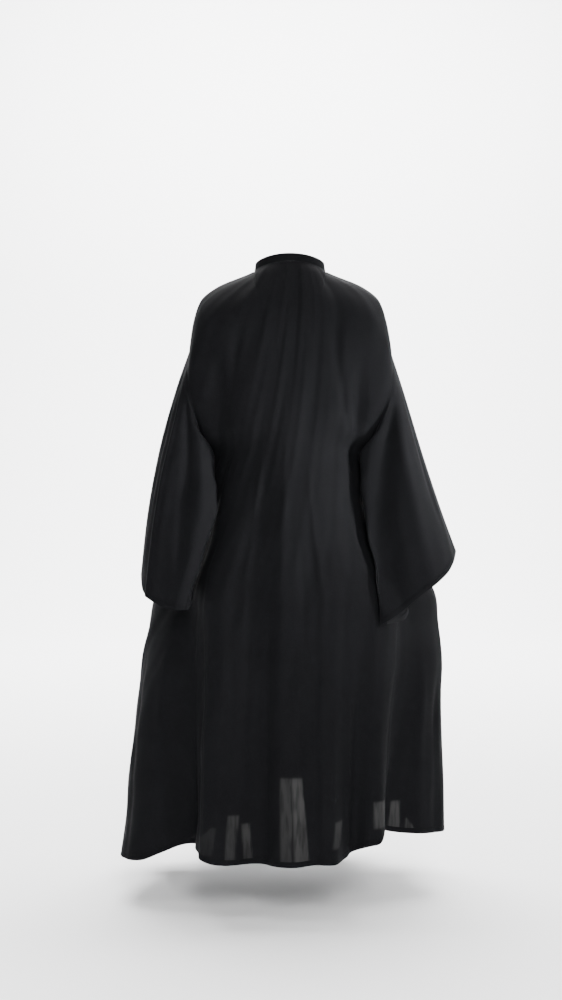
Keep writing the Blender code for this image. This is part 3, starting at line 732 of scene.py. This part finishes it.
# The share of its length over which a crease sets in, on the body and on a sleeve, the share over which it
# dies out past its end, and how much of the unevenness a sleeve has
BODY_FADING = 0.35
SLEEVE_FADING = 0.30
CREASE_END = 0.15
SLEEVE_UNEVEN = 0.8


def smooth_steps(values, times, axis):
    """Divides every step of a grid along one axis, on a smooth curve through its points."""
    points = np.moveaxis(values, axis, 0)
    before = np.concatenate([2 * points[:1] - points[1:2], points[:-1]])[:-1]
    after = np.concatenate([points[1:], 2 * points[-1:] - points[-2:-1]])[1:]
    start, end = points[:-1], points[1:]
    share = (np.arange(times) / times).reshape(1, times, *([1] * (points.ndim - 1)))
    b, s, e, a = (p[:, None] for p in (before, start, end, after))
    curve = (
        2 * s
        + (e - b) * share
        + (2 * b - 5 * s + 4 * e - a) * share**2
        + (3 * s - b - 3 * e + a) * share**3
    ) / 2
    curve = curve.reshape(-1, *points.shape[1:])
    return np.moveaxis(np.concatenate([curve, points[-1:]]), 0, axis)


def finer(grid, kind):
    across, down = FINER[kind]
    return smooth_steps(smooth_steps(grid, across, 1), down, 0)


def crease_depth(table, angle, down, widening, fading):
    """How far a table of creases moves the cloth out. Each sets in over the share of its length in fading."""
    total = np.zeros(angle.shape)
    for from_angle, start, to_angle, end, width, depth in table:
        along = (down - start) / (end - start)
        middle = from_angle + (to_angle - from_angle) * np.clip(along, 0.0, 1.0)
        ending = np.where(along > 1.0, np.exp(-(((along - 1.0) / CREASE_END) ** 2)), 1.0)
        fade = ease(along / fading) * ending
        total += depth * (bump(angle_off(angle, middle), width * widening) * fade)
    return total


def waves(points):
    """Soft unevenness at each point, the same on both sides of a seam."""
    turn = np.arctan2(points[..., 0], points[..., 1]) * 0.3
    total = np.zeros(points.shape[:2])
    for wave in WAVES:
        phase = 2 * math.pi * (wave.across * turn + wave.up * points[..., 2]) + wave.turn
        drift = 1.3 * np.sin(2 * math.pi * 1.1 * points[..., 2] + 2.0 * wave.turn)
        total += wave.height * np.sin(phase + drift)
    return total


def edge_fade(shape, rows, columns, edges):
    """0 at the named edges of a grid and 1 away from them, over so many rows and columns."""
    high, wide = shape
    fade = np.ones(shape)
    down, across = np.arange(high)[:, None], np.arange(wide)[None, :]
    if "top" in edges:
        fade = fade * ease(down / rows)
    if "first" in edges:
        fade = fade * ease(across / columns)
    if "last" in edges:
        fade = fade * ease((wide - 1 - across) / columns)
    return fade


def shell(name, outer, inner, slot, materials):
    """A closed thin wall between two grids of points."""
    rows, columns = outer.shape[:2]
    points = np.concatenate([outer.reshape(-1, 3), inner.reshape(-1, 3)])
    index = np.arange(rows * columns).reshape(rows, columns)
    a, b, d, e = index[:-1, :-1], index[:-1, 1:], index[1:, 1:], index[1:, :-1]
    front = np.stack([a, b, d, e], axis=-1).reshape(-1, 4)
    back = np.stack([e, d, b, a], axis=-1).reshape(-1, 4) + rows * columns
    loop = np.concatenate([index[0, :-1], index[:-1, -1], index[-1, :0:-1], index[:0:-1, 0]])
    there = np.roll(loop, -1)
    rim = np.stack([there, loop, loop + rows * columns, there + rows * columns], axis=-1)
    return mesh_piece(name, points, np.concatenate([front, back, rim]), slot, materials)


def added(name, data):
    """A new object in the scene."""
    made = bpy.data.objects.new(name, data)
    bpy.context.scene.collection.objects.link(made)
    return made


def mesh_piece(name, points, faces, slot, materials):
    mesh = bpy.data.meshes.new(name)
    mesh.from_pydata(points.tolist(), [], faces.tolist())
    first = points[faces[:, 0]]
    spans = [points[faces[:, k]] - first for k in range(1, faces.shape[1])]
    if sum(np.sum(first * np.cross(one, two)) for one, two in zip(spans, spans[1:])) < 0:
        mesh.flip_normals()
    mesh.shade_smooth()
    mesh.set_sharp_from_angle(angle=math.radians(55))
    for material in materials:
        mesh.materials.append(material)
    piece = added(name, mesh)
    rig.ride(piece, "root")
    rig.slot(piece, slot)
    return piece


# Camera, floor and lamps
CAMERA_LENS = 50.3
CAMERA_PLACE = (0.021, 3.300, -0.538)
FLOOR_Z = -1.446
FLOOR_HALF = 9.0
FLOOR_COLOUR = (0.955, 0.955, 0.96)
SKY_STRENGTH = 0.18
Lamp = namedtuple("Lamp", "name place aim wide high power spread")
LAMPS = [
    Lamp("front", (-0.5, 4.3, 1.3), (0.0, 0.1, -0.6), 1.4, 1.4, 200.0, 180),
    Lamp("key", (-3.0, 1.05, 0.45), (-0.2, 0.15, -0.42), 0.5, 0.5, 3.9, 16),
    Lamp("edge_right", (-2.6, -0.9, 0.6), (-0.2, 0.0, -0.5), 0.8, 1.6, 7.0, 60),
    Lamp("edge_left", (2.8, -1.0, 0.6), (0.2, 0.0, -0.6), 0.8, 2.4, 8.0, 180),
    Lamp("above", (0.0, -2.6, 4.2), (0.0, -2.6, -1.4), 6.0, 4.0, 1200.0, 180),
    Lamp("behind", (0.0, -4.6, 4.2), (0.0, -8.0, 0.2), 6.0, 1.6, 1300.0, 180),
    Lamp("before", (0.0, 2.4, 3.4), (0.0, 2.4, -1.4), 4.0, 1.2, 45.0, 60),
]

# Hems, seams and stitches
HEM_DEPTH = 0.0110
CUFF_DEPTH = 0.0120
STITCH_PITCH = 0.0034
STITCH = (0.0012, 0.00032, 0.00028)
BAND_STITCH_LIFT = 0.0002
STITCH_INSET = 0.0015
STITCH_LIFT = 0.0004

# Profiles of the raised seam lines and of the neckband's rolled top, as (across, out)
SEAM_BEAD = [(-0.0017, -0.0002), (-0.0008, 0.00045), (0.0008, 0.00045)]
SEAM_BEAD += [(0.0017, -0.0002), (0.0008, -0.0009), (-0.0008, -0.0009)]
BAND_ROLL = [(-0.0012, 0.0), (-0.0007, 0.0008), (0.0007, 0.0008)]
BAND_ROLL += [(0.0012, 0.0), (0.0007, -0.0008), (-0.0007, -0.0008)]
# Places near the hem where the single layer of the back panel lets a little real light through and is painted lighter,
# as painted light coming
# through it: the middle of each at its top and at the hem, half its width, its top and bottom, and how open it is
OPEN_FROM_Z = -1.10
Patch = namedtuple("Patch", "top_x hem_x half_top half_hem top bottom open")
THIN_AND_PAINTED_LIGHT_PATCHES = [
    Patch(0.0105, 0.0090, 0.0125, 0.0135, -1.133, -1.345, 0.60),
    Patch(-0.0125, -0.0260, 0.0115, 0.0170, -1.133, -1.345, 1.0),
    Patch(0.1240, 0.1340, 0.0115, 0.0110, -1.216, -1.345, 0.62),
    Patch(0.0980, 0.0890, 0.0085, 0.0095, -1.234, -1.345, 0.66),
    Patch(-0.1040, -0.0960, 0.0085, 0.0065, -1.226, -1.282, 0.62),
    Patch(-0.1940, -0.1984, 0.0125, 0.0165, -1.196, -1.254, 0.95),
    Patch(-0.2390, -0.2349, 0.0098, 0.0140, -1.222, -1.288, 0.95),
    Patch(-0.2650, -0.2730, 0.0010, 0.0120, -1.262, -1.291, 0.7),
    Patch(0.1660, 0.1980, 0.0040, 0.0300, -1.240, -1.300, 0.22),
]
# The patches' soft edges, the little real see-through of their alpha, their painted light colour (a lighter grey
# standing in for light that comes through the cloth), how much both fade towards the hem, and the scale of their
# streaks
OPEN_SOFT = 0.0070
OPEN_ALPHA = 0.05
PAINTED_LIGHT_COLOUR = (0.034, 0.034, 0.034)
OPEN_DIMMING = -0.35
STREAKS = (120.0, 20.0, 17.0)

# Looks of the cloth: its darkest and lightest colour, pebbles per metre of its grain, and its sheen
Look = namedtuple("Look", "dark light grain sheen")
CLOTH = Look((0.0029, 0.0030, 0.0034), (0.0068, 0.0070, 0.0079), 900.0, 0.006)
DOUBLED = Look((0.0026, 0.0027, 0.0030), (0.0060, 0.0062, 0.0070), 900.0, 0.02)
THREAD = Look((0.0049, 0.0050, 0.0053), (0.0113, 0.0115, 0.0121), 2600.0, 0.01)
SPECULAR = 0.02
SHEEN_ROUGHNESS = 0.45
SHEEN_TINT = (0.90, 0.93, 1.0, 1.0)

# The cut of each piece that shows, in metres and square metres
Cut = namedtuple("Cut", "name wide long area rests_on")
CUTS = [
    Cut("back", 1.12, 1.40, 1.13, ["cloth_neckband"]),
    Cut("front_left", 0.65, 1.37, 0.56, ["cloth_neckband"]),
    Cut("front_right", 0.65, 1.37, 0.56, ["cloth_neckband"]),
    Cut("sleeve_left_back", 0.28, 0.60, 0.123, ["cloth_back"]),
    Cut("sleeve_left_front", 0.21, 0.58, 0.093, ["cloth_front_left"]),
    Cut("sleeve_right_back", 0.32, 0.60, 0.131, ["cloth_back"]),
    Cut("sleeve_right_front", 0.26, 0.68, 0.108, ["cloth_front_right"]),
    Cut("neckband", 0.56, 0.019, 0.0106, ["cloth_back", "cloth_front_left", "cloth_front_right"]),
]


def neckband_grids(panels):
    """A standing band on the neck edge, from the right front edge round the back to the left front edge."""
    neck = NECK_COLUMNS
    right_front = panels["front_right"][0, -neck - 2 :][::-1]
    middle = panels["back"].shape[1] // 2
    back = panels["back"][0, middle - neck : middle + neck + 1]
    left_front = panels["front_left"][0, -neck - 2 :]
    base = np.concatenate([right_front[:-1], back, left_front[1:]])
    inward = unit(-base * np.array([1.0, 1.0, 0.0]))
    heights = np.linspace(SEAM_GAP, SEAM_GAP + BAND_HEIGHT, BAND_ROWS + 1)[:, None, None]
    up = np.array([0.0, 0.0, 1.0])
    outer = base[None] + heights * (up + inward[None] * BAND_LEAN)
    inner = outer + inward[None] * WALL
    return outer, inner


def along_line(points):
    """Unit directions along a line of points."""
    return unit(np.gradient(points, axis=0))


def swept(name, line, normals, profile, slot, material):
    """A closed strip swept along a line. Its profile is a ring of (across, out) places, in metres."""
    across = unit(np.cross(along_line(line), normals))
    rings = np.stack([line + across * a + normals * o for a, o in profile], axis=1)
    return tube(name, rings, slot, material)


def tube(name, rings, slot, material):
    """A closed strip through rings of points, each with the same even number of places."""
    count, places = rings.shape[:2]
    index = np.arange(count * places).reshape(count, places)
    there = np.roll(index, -1, axis=1)
    walls = np.stack([index[:-1], there[:-1], there[1:], index[1:]], axis=-1).reshape(-1, 4)
    caps = []
    for row, turned in ((index[0], True), (index[-1], False)):
        for k in range(places // 2 - 1):
            cap = [row[k], row[k + 1], row[places - 2 - k], row[places - 1 - k]]
            caps.append(cap[::-1] if turned else cap)
    return mesh_piece(name, rings.reshape(-1, 3), np.concatenate([walls, np.array(caps)]), slot, [material])


def spaced(line, normals, pitch):
    """Places every pitch along a line, with the direction and the normal at each."""
    lengths = np.concatenate([[0.0], np.cumsum(np.linalg.norm(np.diff(line, axis=0), axis=-1))])
    at = np.arange(pitch / 2.0, lengths[-1], pitch)
    places = np.stack([np.interp(at, lengths, line[:, k]) for k in range(3)], axis=-1)
    ups = np.stack([np.interp(at, lengths, normals[:, k]) for k in range(3)], axis=-1)
    return places, along_line(places), unit(ups)


def stitches(name, runs, material):
    """Rows of small thread stitches, one row for each (line, normals)."""
    points, faces = [], []
    for line, normals in runs:
        places, ways, ups = spaced(line, normals, STITCH_PITCH)
        across = np.cross(ways, ups)
        long, wide, high = STITCH
        corners = [
            places - ways * long,
            places + across * wide + ups * high * 0.3,
            places + ups * high,
            places - across * wide + ups * high * 0.3,
            places + ways * long,
            places - ups * high,
        ]
        start = len(points) * 6
        for k in range(len(places)):
            points.append([corner[k] for corner in corners])
            first = start + 6 * k
            for a, b in ((1, 2), (2, 3), (3, 5), (5, 1)):
                faces.append((first, first + a, first + b))
                faces.append((first + 4, first + b, first + a))
    return mesh_piece(name, np.array(points).reshape(-1, 3), np.array(faces), "black_crepe", [material])


def edge_frame(outer, normals, edge):
    """The line of one edge of a panel, its normals, and the unit directions from it into the cloth."""
    last, near = ((slice(None), -1), (slice(None), -3)) if edge == "last" else (-1, -3)
    return outer[last], normals[last], unit(outer[near] - outer[last])


def turned_edge(name, outer, normals, edge, depth, material):
    """A hem: the cloth turned up inside along one edge, which it wraps as one doubled band."""
    line, normal, inward = edge_frame(outer, normals, edge)
    sides = [
        (depth, 0.0000),
        (depth - 0.0006, 0.0003),
        (depth * 0.5, 0.0004),
        (0.0004, 0.0004),
        (-0.0008, -0.0002),
        (-0.0008, -SHELL - 0.0004),
        (0.0004, -SHELL - 0.0010),
        (depth * 0.5, -SHELL - 0.0010),
        (depth - 0.0006, -SHELL - 0.0009),
        (depth, -SHELL * 0.6),
    ]
    rings = np.stack([line + inward * d + normal * o for d, o in sides], axis=1)
    return tube(name, rings, "black_crepe", material)


def stitch_run(outer, normals, edge, depth):
    """A row of stitches along an edge, as (line, normals), at a distance from it."""
    line, normal, inward = edge_frame(outer, normals, edge)
    return line + inward * depth + normal * STITCH_LIFT, normal


# Materials


def node(tree, kind, **inputs):
    made = tree.nodes.new(kind)
    for name, value in inputs.items():
        made.inputs[name.replace("_", " ")].default_value = value
    return made


def crepe(name, look, patches=()):
    """Matte crepe: a fine pebbled grain, faint cloudiness, and a soft sheen at the edges of folds."""
    material = bpy.data.materials.new(name)
    material.use_nodes = True
    tree = material.node_tree
    shader = tree.nodes["Principled BSDF"]
    link = tree.links.new
    place = tree.nodes.new("ShaderNodeTexCoord")
    pebble = node(tree, "ShaderNodeTexVoronoi", Scale=look.grain)
    yarn = node(tree, "ShaderNodeTexNoise", Scale=look.grain * 0.45, Detail=3.0, Roughness=0.6)
    cloud = node(tree, "ShaderNodeTexNoise", Scale=7.0, Detail=3.0, Roughness=0.55)
    for texture in (pebble, yarn, cloud):
        link(place.outputs["Object"], texture.inputs["Vector"])
    grain = maths(tree, "MULTIPLY_ADD", yarn.outputs["Fac"], 0.55, pebble.outputs["Distance"])
    cloudy = maths(tree, "MULTIPLY", cloud.outputs["Fac"], 0.5)
    ramp = tree.nodes.new("ShaderNodeValToRGB")
    for stop, at, colour in zip(ramp.color_ramp.elements, (0.30, 0.85), (look.dark, look.light)):
        stop.position, stop.color = at, (*colour, 1.0)
    link(maths(tree, "MULTIPLY_ADD", grain, 0.6, cloudy), ramp.inputs["Fac"])
    colour = ramp.outputs["Color"]
    link(span(tree, yarn.outputs["Fac"], 0.0, 1.0, 0.62, 0.80, "LINEAR"), shader.inputs["Roughness"])
    bumps = node(tree, "ShaderNodeBump", Strength=0.45, Distance=0.0004)
    link(grain, bumps.inputs["Height"])
    link(bumps.outputs["Normal"], shader.inputs["Normal"])
    shader.inputs["Specular IOR Level"].default_value = SPECULAR
    shader.inputs["Sheen Weight"].default_value = look.sheen
    shader.inputs["Sheen Roughness"].default_value = SHEEN_ROUGHNESS
    shader.inputs["Sheen Tint"].default_value = SHEEN_TINT
    # With patches, painted light is mixed into the colour where light would come through the cloth
    if patches:
        colour = painted_through_light(tree, place, shader, patches, colour)
    link(colour, shader.inputs["Base Color"])
    return material


def painted_through_light(tree, place, shader, patches, colour):
    """Patches where the single layer lets a little light through by its alpha and is painted lighter, as painted light
    coming through it, with soft, streaky edges.
    """
    link = tree.links.new
    do = partial(maths, tree)
    parts = tree.nodes.new("ShaderNodeSeparateXYZ")
    link(place.outputs["Object"], parts.inputs[0])
    height = parts.outputs["Z"]
    stretch = tree.nodes.new("ShaderNodeMapping")
    stretch.inputs["Scale"].default_value = STREAKS
    link(place.outputs["Object"], stretch.inputs["Vector"])
    streaks = node(tree, "ShaderNodeTexNoise", Scale=1.0, Detail=2.0, Roughness=0.5)
    link(stretch.outputs[0], streaks.inputs["Vector"])
    across = do("ADD", parts.outputs["X"], do("MULTIPLY_ADD", streaks.outputs["Fac"], 0.008, -0.004))

    def step(value, start, end, low=0.0, kind="SMOOTHSTEP"):
        return span(tree, value, start, end, low, 1.0, kind)

    most = None
    for patch in patches:
        down = step(height, patch.top, patch.bottom, kind="LINEAR")
        middle = do("MULTIPLY_ADD", down, patch.hem_x - patch.top_x, patch.top_x)
        half = do("MULTIPLY_ADD", down, patch.half_hem - patch.half_top, patch.half_top)
        outside = do("SUBTRACT", do("ABSOLUTE", do("SUBTRACT", across, middle)), half)
        wide = step(outside, OPEN_SOFT * 0.5, -OPEN_SOFT * 0.5)
        below = step(height, patch.top + 0.002, patch.top - 0.006)
        over = step(height, patch.bottom - 0.004, patch.bottom + 0.004)
        dimmed = do("MULTIPLY_ADD", do("MULTIPLY", down, down), OPEN_DIMMING * patch.open, patch.open)
        here = do("MULTIPLY", do("MULTIPLY", wide, do("MULTIPLY", below, over)), dimmed)
        most = here if most is None else do("MAXIMUM", most, here)
    most = do("MULTIPLY", most, step(streaks.outputs["Fac"], 0.30, 0.62, low=0.45))
    link(do("MULTIPLY_ADD", most, -OPEN_ALPHA, 1.0), shader.inputs["Alpha"])
    # Painted light: in the patches the colour is mixed towards a lighter grey, standing in for light coming through
    # the cloth
    mixed = tree.nodes.new("ShaderNodeMix")
    mixed.data_type = "RGBA"
    mixed.inputs["B"].default_value = (*PAINTED_LIGHT_COLOUR, 1.0)
    link(most, mixed.inputs["Factor"])
    link(colour, mixed.inputs["A"])
    return mixed.outputs["Result"]


def maths(tree, operation, *values):
    """A Math node on sockets or numbers."""
    made = tree.nodes.new("ShaderNodeMath")
    made.operation = operation
    for socket, value in zip(made.inputs, values):
        if isinstance(value, float):
            socket.default_value = value
        else:
            tree.links.new(value, socket)
    return made.outputs[0]


def span(tree, value, start, end, low, high, kind):
    """The value carried from the range (start, end) to (low, high), and held at its ends."""
    made = tree.nodes.new("ShaderNodeMapRange")
    made.interpolation_type = kind
    if start > end:
        start, end, low, high = end, start, high, low
    for name, number in (("From Min", start), ("From Max", end), ("To Min", low), ("To Max", high)):
        made.inputs[name].default_value = number
    tree.links.new(value, made.inputs["Value"])
    return made.outputs[0]


def plain(name, colour, roughness):
    material = bpy.data.materials.new(name)
    material.use_nodes = True
    shader = material.node_tree.nodes["Principled BSDF"]
    shader.inputs["Base Color"].default_value = (*colour, 1.0)
    shader.inputs["Roughness"].default_value = roughness
    shader.inputs["Specular IOR Level"].default_value = 0.2
    return material


# Scene


def make_camera():
    data = bpy.data.cameras.new("camera")
    data.lens = CAMERA_LENS
    data.sensor_width = 36.0
    camera = added("camera", data)
    camera.location = CAMERA_PLACE
    camera.rotation_euler = (math.radians(90.0), 0.0, math.radians(180.0))
    bpy.context.scene.camera = camera


def make_floor():
    """A pale floor that curves up into a backdrop on the far side of the camera."""
    near, far, bend, top = 8.0, -8.0, 2.6, 5.0
    profile = [(near, FLOOR_Z), (far + bend, FLOOR_Z)]
    for k in range(1, 17):
        turn = math.radians(90.0 * k / 16)
        profile.append((far + bend - bend * math.sin(turn), FLOOR_Z + bend * (1.0 - math.cos(turn))))
    profile.append((far, top))
    points = [(x, y, z) for y, z in profile for x in (-FLOOR_HALF, FLOOR_HALF)]
    faces = [(k, k + 1, k + 3, k + 2) for k in range(0, len(points) - 2, 2)]
    mesh = bpy.data.meshes.new("floor")
    mesh.from_pydata(points, [], faces)
    mesh.shade_smooth()
    mesh.materials.append(plain("studio_floor", FLOOR_COLOUR, 0.75))
    floor = added("floor", mesh)
    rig.stage(floor)


def make_lights():
    world = bpy.data.worlds.new("studio")
    world.use_nodes = True
    sky = world.node_tree.nodes["Background"]
    sky.inputs["Color"].default_value = (1.0, 1.0, 1.0, 1.0)
    sky.inputs["Strength"].default_value = SKY_STRENGTH
    bpy.context.scene.world = world
    for lamp in LAMPS:
        data = bpy.data.lights.new(lamp.name, "AREA")
        data.shape = "RECTANGLE"
        data.size, data.size_y = lamp.wide, lamp.high
        data.energy = lamp.power
        data.spread = math.radians(lamp.spread)
        thing = added(lamp.name, data)
        thing.location = lamp.place
        aim = mathutils.Vector(lamp.aim) - mathutils.Vector(lamp.place)
        thing.rotation_euler = aim.to_track_quat("-Z", "Y").to_euler()


def angles_of(name):
    """The angle round the body of each fine column of a body panel."""
    turns = column_turns()
    if name == "back":
        coarse = np.concatenate([-turns[::-1][:-1], turns])
    else:
        side = LEFT if name == "front_left" else RIGHT
        coarse = side * (180.0 - np.append(turns[::-1], -turns[1]))
    return smooth_steps(coarse, FINER["back"][0], 0)


def outward(name):
    return (0, 1, 0) if "back" in name else (0, -1, 0)


def build_cloth():
    """The fine points and normals of each panel, and the faces of the neckband."""
    grids = {"back": back_grid(), "front_left": front_grid(LEFT), "front_right": front_grid(RIGHT)}
    armhole = slice(0, ARMHOLE_ROWS + 1)
    tree = surface_tree(
        [(grids["back"], False), (grids["front_left"], False), (grids["front_right"], True)]
    )
    grids["sleeve_left_back"] = sleeve_grid(LEFT, BACK, grids["back"][armhole, -1])
    grids["sleeve_right_back"] = sleeve_grid(RIGHT, BACK, grids["back"][armhole, 0])
    grids["sleeve_left_front"] = sleeve_grid(LEFT, FRONT, grids["front_left"][armhole, 0])
    grids["sleeve_right_front"] = sleeve_grid(RIGHT, FRONT, grids["front_right"][armhole, 0])
    clearance = np.minimum(SLEEVE_CLEARANCE, SLEEVE_OPENING * sleeve_shares())
    for name in [name for name in grids if name.startswith("sleeve")]:
        grids[name] = kept_clear(grids[name], tree, clearance)
    band = [smooth_steps(smooth_steps(g, 4, 1), 4, 0) for g in neckband_grids(grids)]

    fine = {name: finer(grid, name.split("_")[0]) for name, grid in grids.items()}
    normals = fine_normals(fine)
    fine = {name: grid + normals[name] * moved(name, grid)[..., None] for name, grid in fine.items()}
    normals = fine_normals(fine)
    return fine, normals, band


def seams():
    """Each seam: its name, the edge that carries its line, and the edge that it joins.

    An edge is (panel, rows, columns) of the finer grids.
    """
    across, down = FINER["back"]
    shoulder, underarm, every = SHOULDER_COLUMNS * across, ARMHOLE_ROWS * down, slice(None)
    armhole, skirt = slice(0, underarm + 1), slice(underarm, None)
    for side, edge in (("left", -1), ("right", 0)):
        front, half_back, half_front = f"front_{side}", f"sleeve_{side}_back", f"sleeve_{side}_front"
        back_top = slice(-shoulder - 1, None) if side == "left" else slice(shoulder, None, -1)
        yield "shoulder_" + side, (front, 0, slice(shoulder, None, -1)), ("back", 0, back_top)
        yield "side_" + side, ("back", skirt, edge), (front, skirt, 0)
        yield "over_" + side, (half_back, every, 0), (half_front, every, 0)
        yield "under_" + side, (half_back, every, -1), (half_front, every, -1)
        yield "armhole_back_" + side, (half_back, 0, every), ("back", armhole, edge)
        yield "armhole_front_" + side, (half_front, 0, every), (front, armhole, 0)


def fine_normals(fine):
    """The normals of the fine panels, one and the same where two meet in a seam."""
    normals = {name: grid_normals(grid, outward(name)) for name, grid in fine.items()}
    for _, one, other in seams():
        share_normals(normals, one, other)
    return normals


def moved(name, points):
    """How far the small folds and the unevenness move each point of a fine panel."""
    high, wide = points.shape[:2]
    uneven = waves(points)
    if name.startswith("sleeve"):
        side = LEFT if "left" in name else RIGHT
        facing = BACK if name.endswith("back") else FRONT
        along = smooth_steps(sleeve_shares(), FINER["sleeve"][1], 0)[:, None]
        down = smooth_steps(row_shares()[: ARMHOLE_ROWS + 1], FINER["sleeve"][0], 0)[None, :]
        degrees = np.degrees(np.arccos(np.clip(1.0 - 2.0 * down, -1.0, 1.0)))
        along, degrees = np.broadcast_arrays(along, degrees)
        details = crease_depth(SLEEVE_CREASES[side, facing], degrees, along, 1.0, SLEEVE_FADING)
        fade = edge_fade((high, wide), 10, 8, ("top", "first", "last"))
        return (details + uneven * SLEEVE_UNEVEN) * fade
    angle = np.broadcast_to(angles_of(name)[None, :], (high, wide))
    widening = 1.0 + 0.35 * np.clip(-0.7 - points[..., 2], 0.0, 0.6)
    details = crease_depth(BODY_CREASES, angle, points[..., 2], widening, BODY_FADING)
    edges = ("top", "first", "last") if name == "back" else ("top", "first")
    fade = edge_fade((high, wide), 8, 7, edges)
    return (details + uneven) * fade


def sewn_edges(name, outer, normals, doubled, thread):
    """The turned-up hem or cuff of a panel, its front edge where it has one, and their stitches."""
    body = not name.startswith("sleeve")
    word, depth = ("hem", HEM_DEPTH) if body else ("cuff", CUFF_DEPTH)
    pieces = [turned_edge(f"{word}_{name}", outer, normals, "bottom", depth, doubled)]
    runs = [stitch_run(outer, normals, "bottom", depth - STITCH_INSET)]
    if name.startswith("front"):
        pieces.append(turned_edge("edge_" + name, outer, normals, "last", HEM_DEPTH, doubled))
        runs.append(stitch_run(outer, normals, "last", HEM_DEPTH - STITCH_INSET))
    return pieces + [stitches("stitches_" + name, runs, thread)]


def dress_neck(outer, inner, doubled, thread):
    """The neckband, with its rolled top and two rows of stitches."""
    neck = shell("cloth_neckband", outer, inner, "black_band", [doubled])
    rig.replaces(neck, "neckband")
    top = (outer[-1] + inner[-1]) / 2.0
    ups = np.broadcast_to(np.array([0.0, 0.0, 1.0]), top.shape)
    roll = swept("neckband_roll", top, ups, BAND_ROLL, "black_band", doubled)
    out = grid_normals(outer, (0, 1, 0))
    if np.sum(out * (outer - outer.mean(axis=(0, 1)))) < 0:
        out = -out
    runs = [(outer[row] + out[row] * BAND_STITCH_LIFT, out[row]) for row in (1, -2)]
    return neck, [roll, stitches("stitches_neckband", runs, thread)]


def dress():
    fine, normals, band = build_cloth()
    black = crepe("black_crepe_cloth", CLOTH)
    # The back's lower strip takes a material with a little real see-through in its patches and painted light in them
    crepe_with_painted_light = crepe("black_crepe_open", CLOTH, THIN_AND_PAINTED_LIGHT_PATCHES)
    doubled = crepe("black_crepe_hem", DOUBLED)
    thread = crepe("black_thread", THREAD)
    cloths = {}
    for name, outer in fine.items():
        inner = outer - normals[name] * SHELL
        kinds = [black, crepe_with_painted_light] if name == "back" else [black]
        cloth = shell("cloth_" + name, outer, inner, "black_crepe", kinds)
        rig.replaces(cloth, name)
        cloths[name] = cloth
    # Faces of the back below OPEN_FROM_Z take the material with the painted light patches
    for face in cloths["back"].data.polygons:
        if face.center.z < OPEN_FROM_Z:
            face.material_index = 1

    edging = {name: sewn_edges(name, fine[name], normals[name], doubled, thread) for name in fine}
    for name, (panel, *at), _ in seams():
        line, ups = fine[panel][tuple(at)], normals[panel][tuple(at)]
        bead = swept("seam_" + name, line, ups, SEAM_BEAD, "black_crepe", black)
        edging[panel].append(bead)
    cloths["neckband"], edging["neckband"] = dress_neck(*band, doubled, thread)
    for cut in CUTS:
        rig.sheet(
            cloths[cut.name],
            flat=(cut.wide, cut.long),
            held="hung",
            rests_on=cut.rests_on,
            area=cut.area,
            with_pieces=edging[cut.name],
        )


make_camera()
make_floor()
make_lights()
dress()

shown_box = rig.bounds()
with open("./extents.json", "w") as out_file:
    json.dump({"cad": [list(c) for c in cad_box], "visual": [list(c) for c in shown_box]}, out_file)
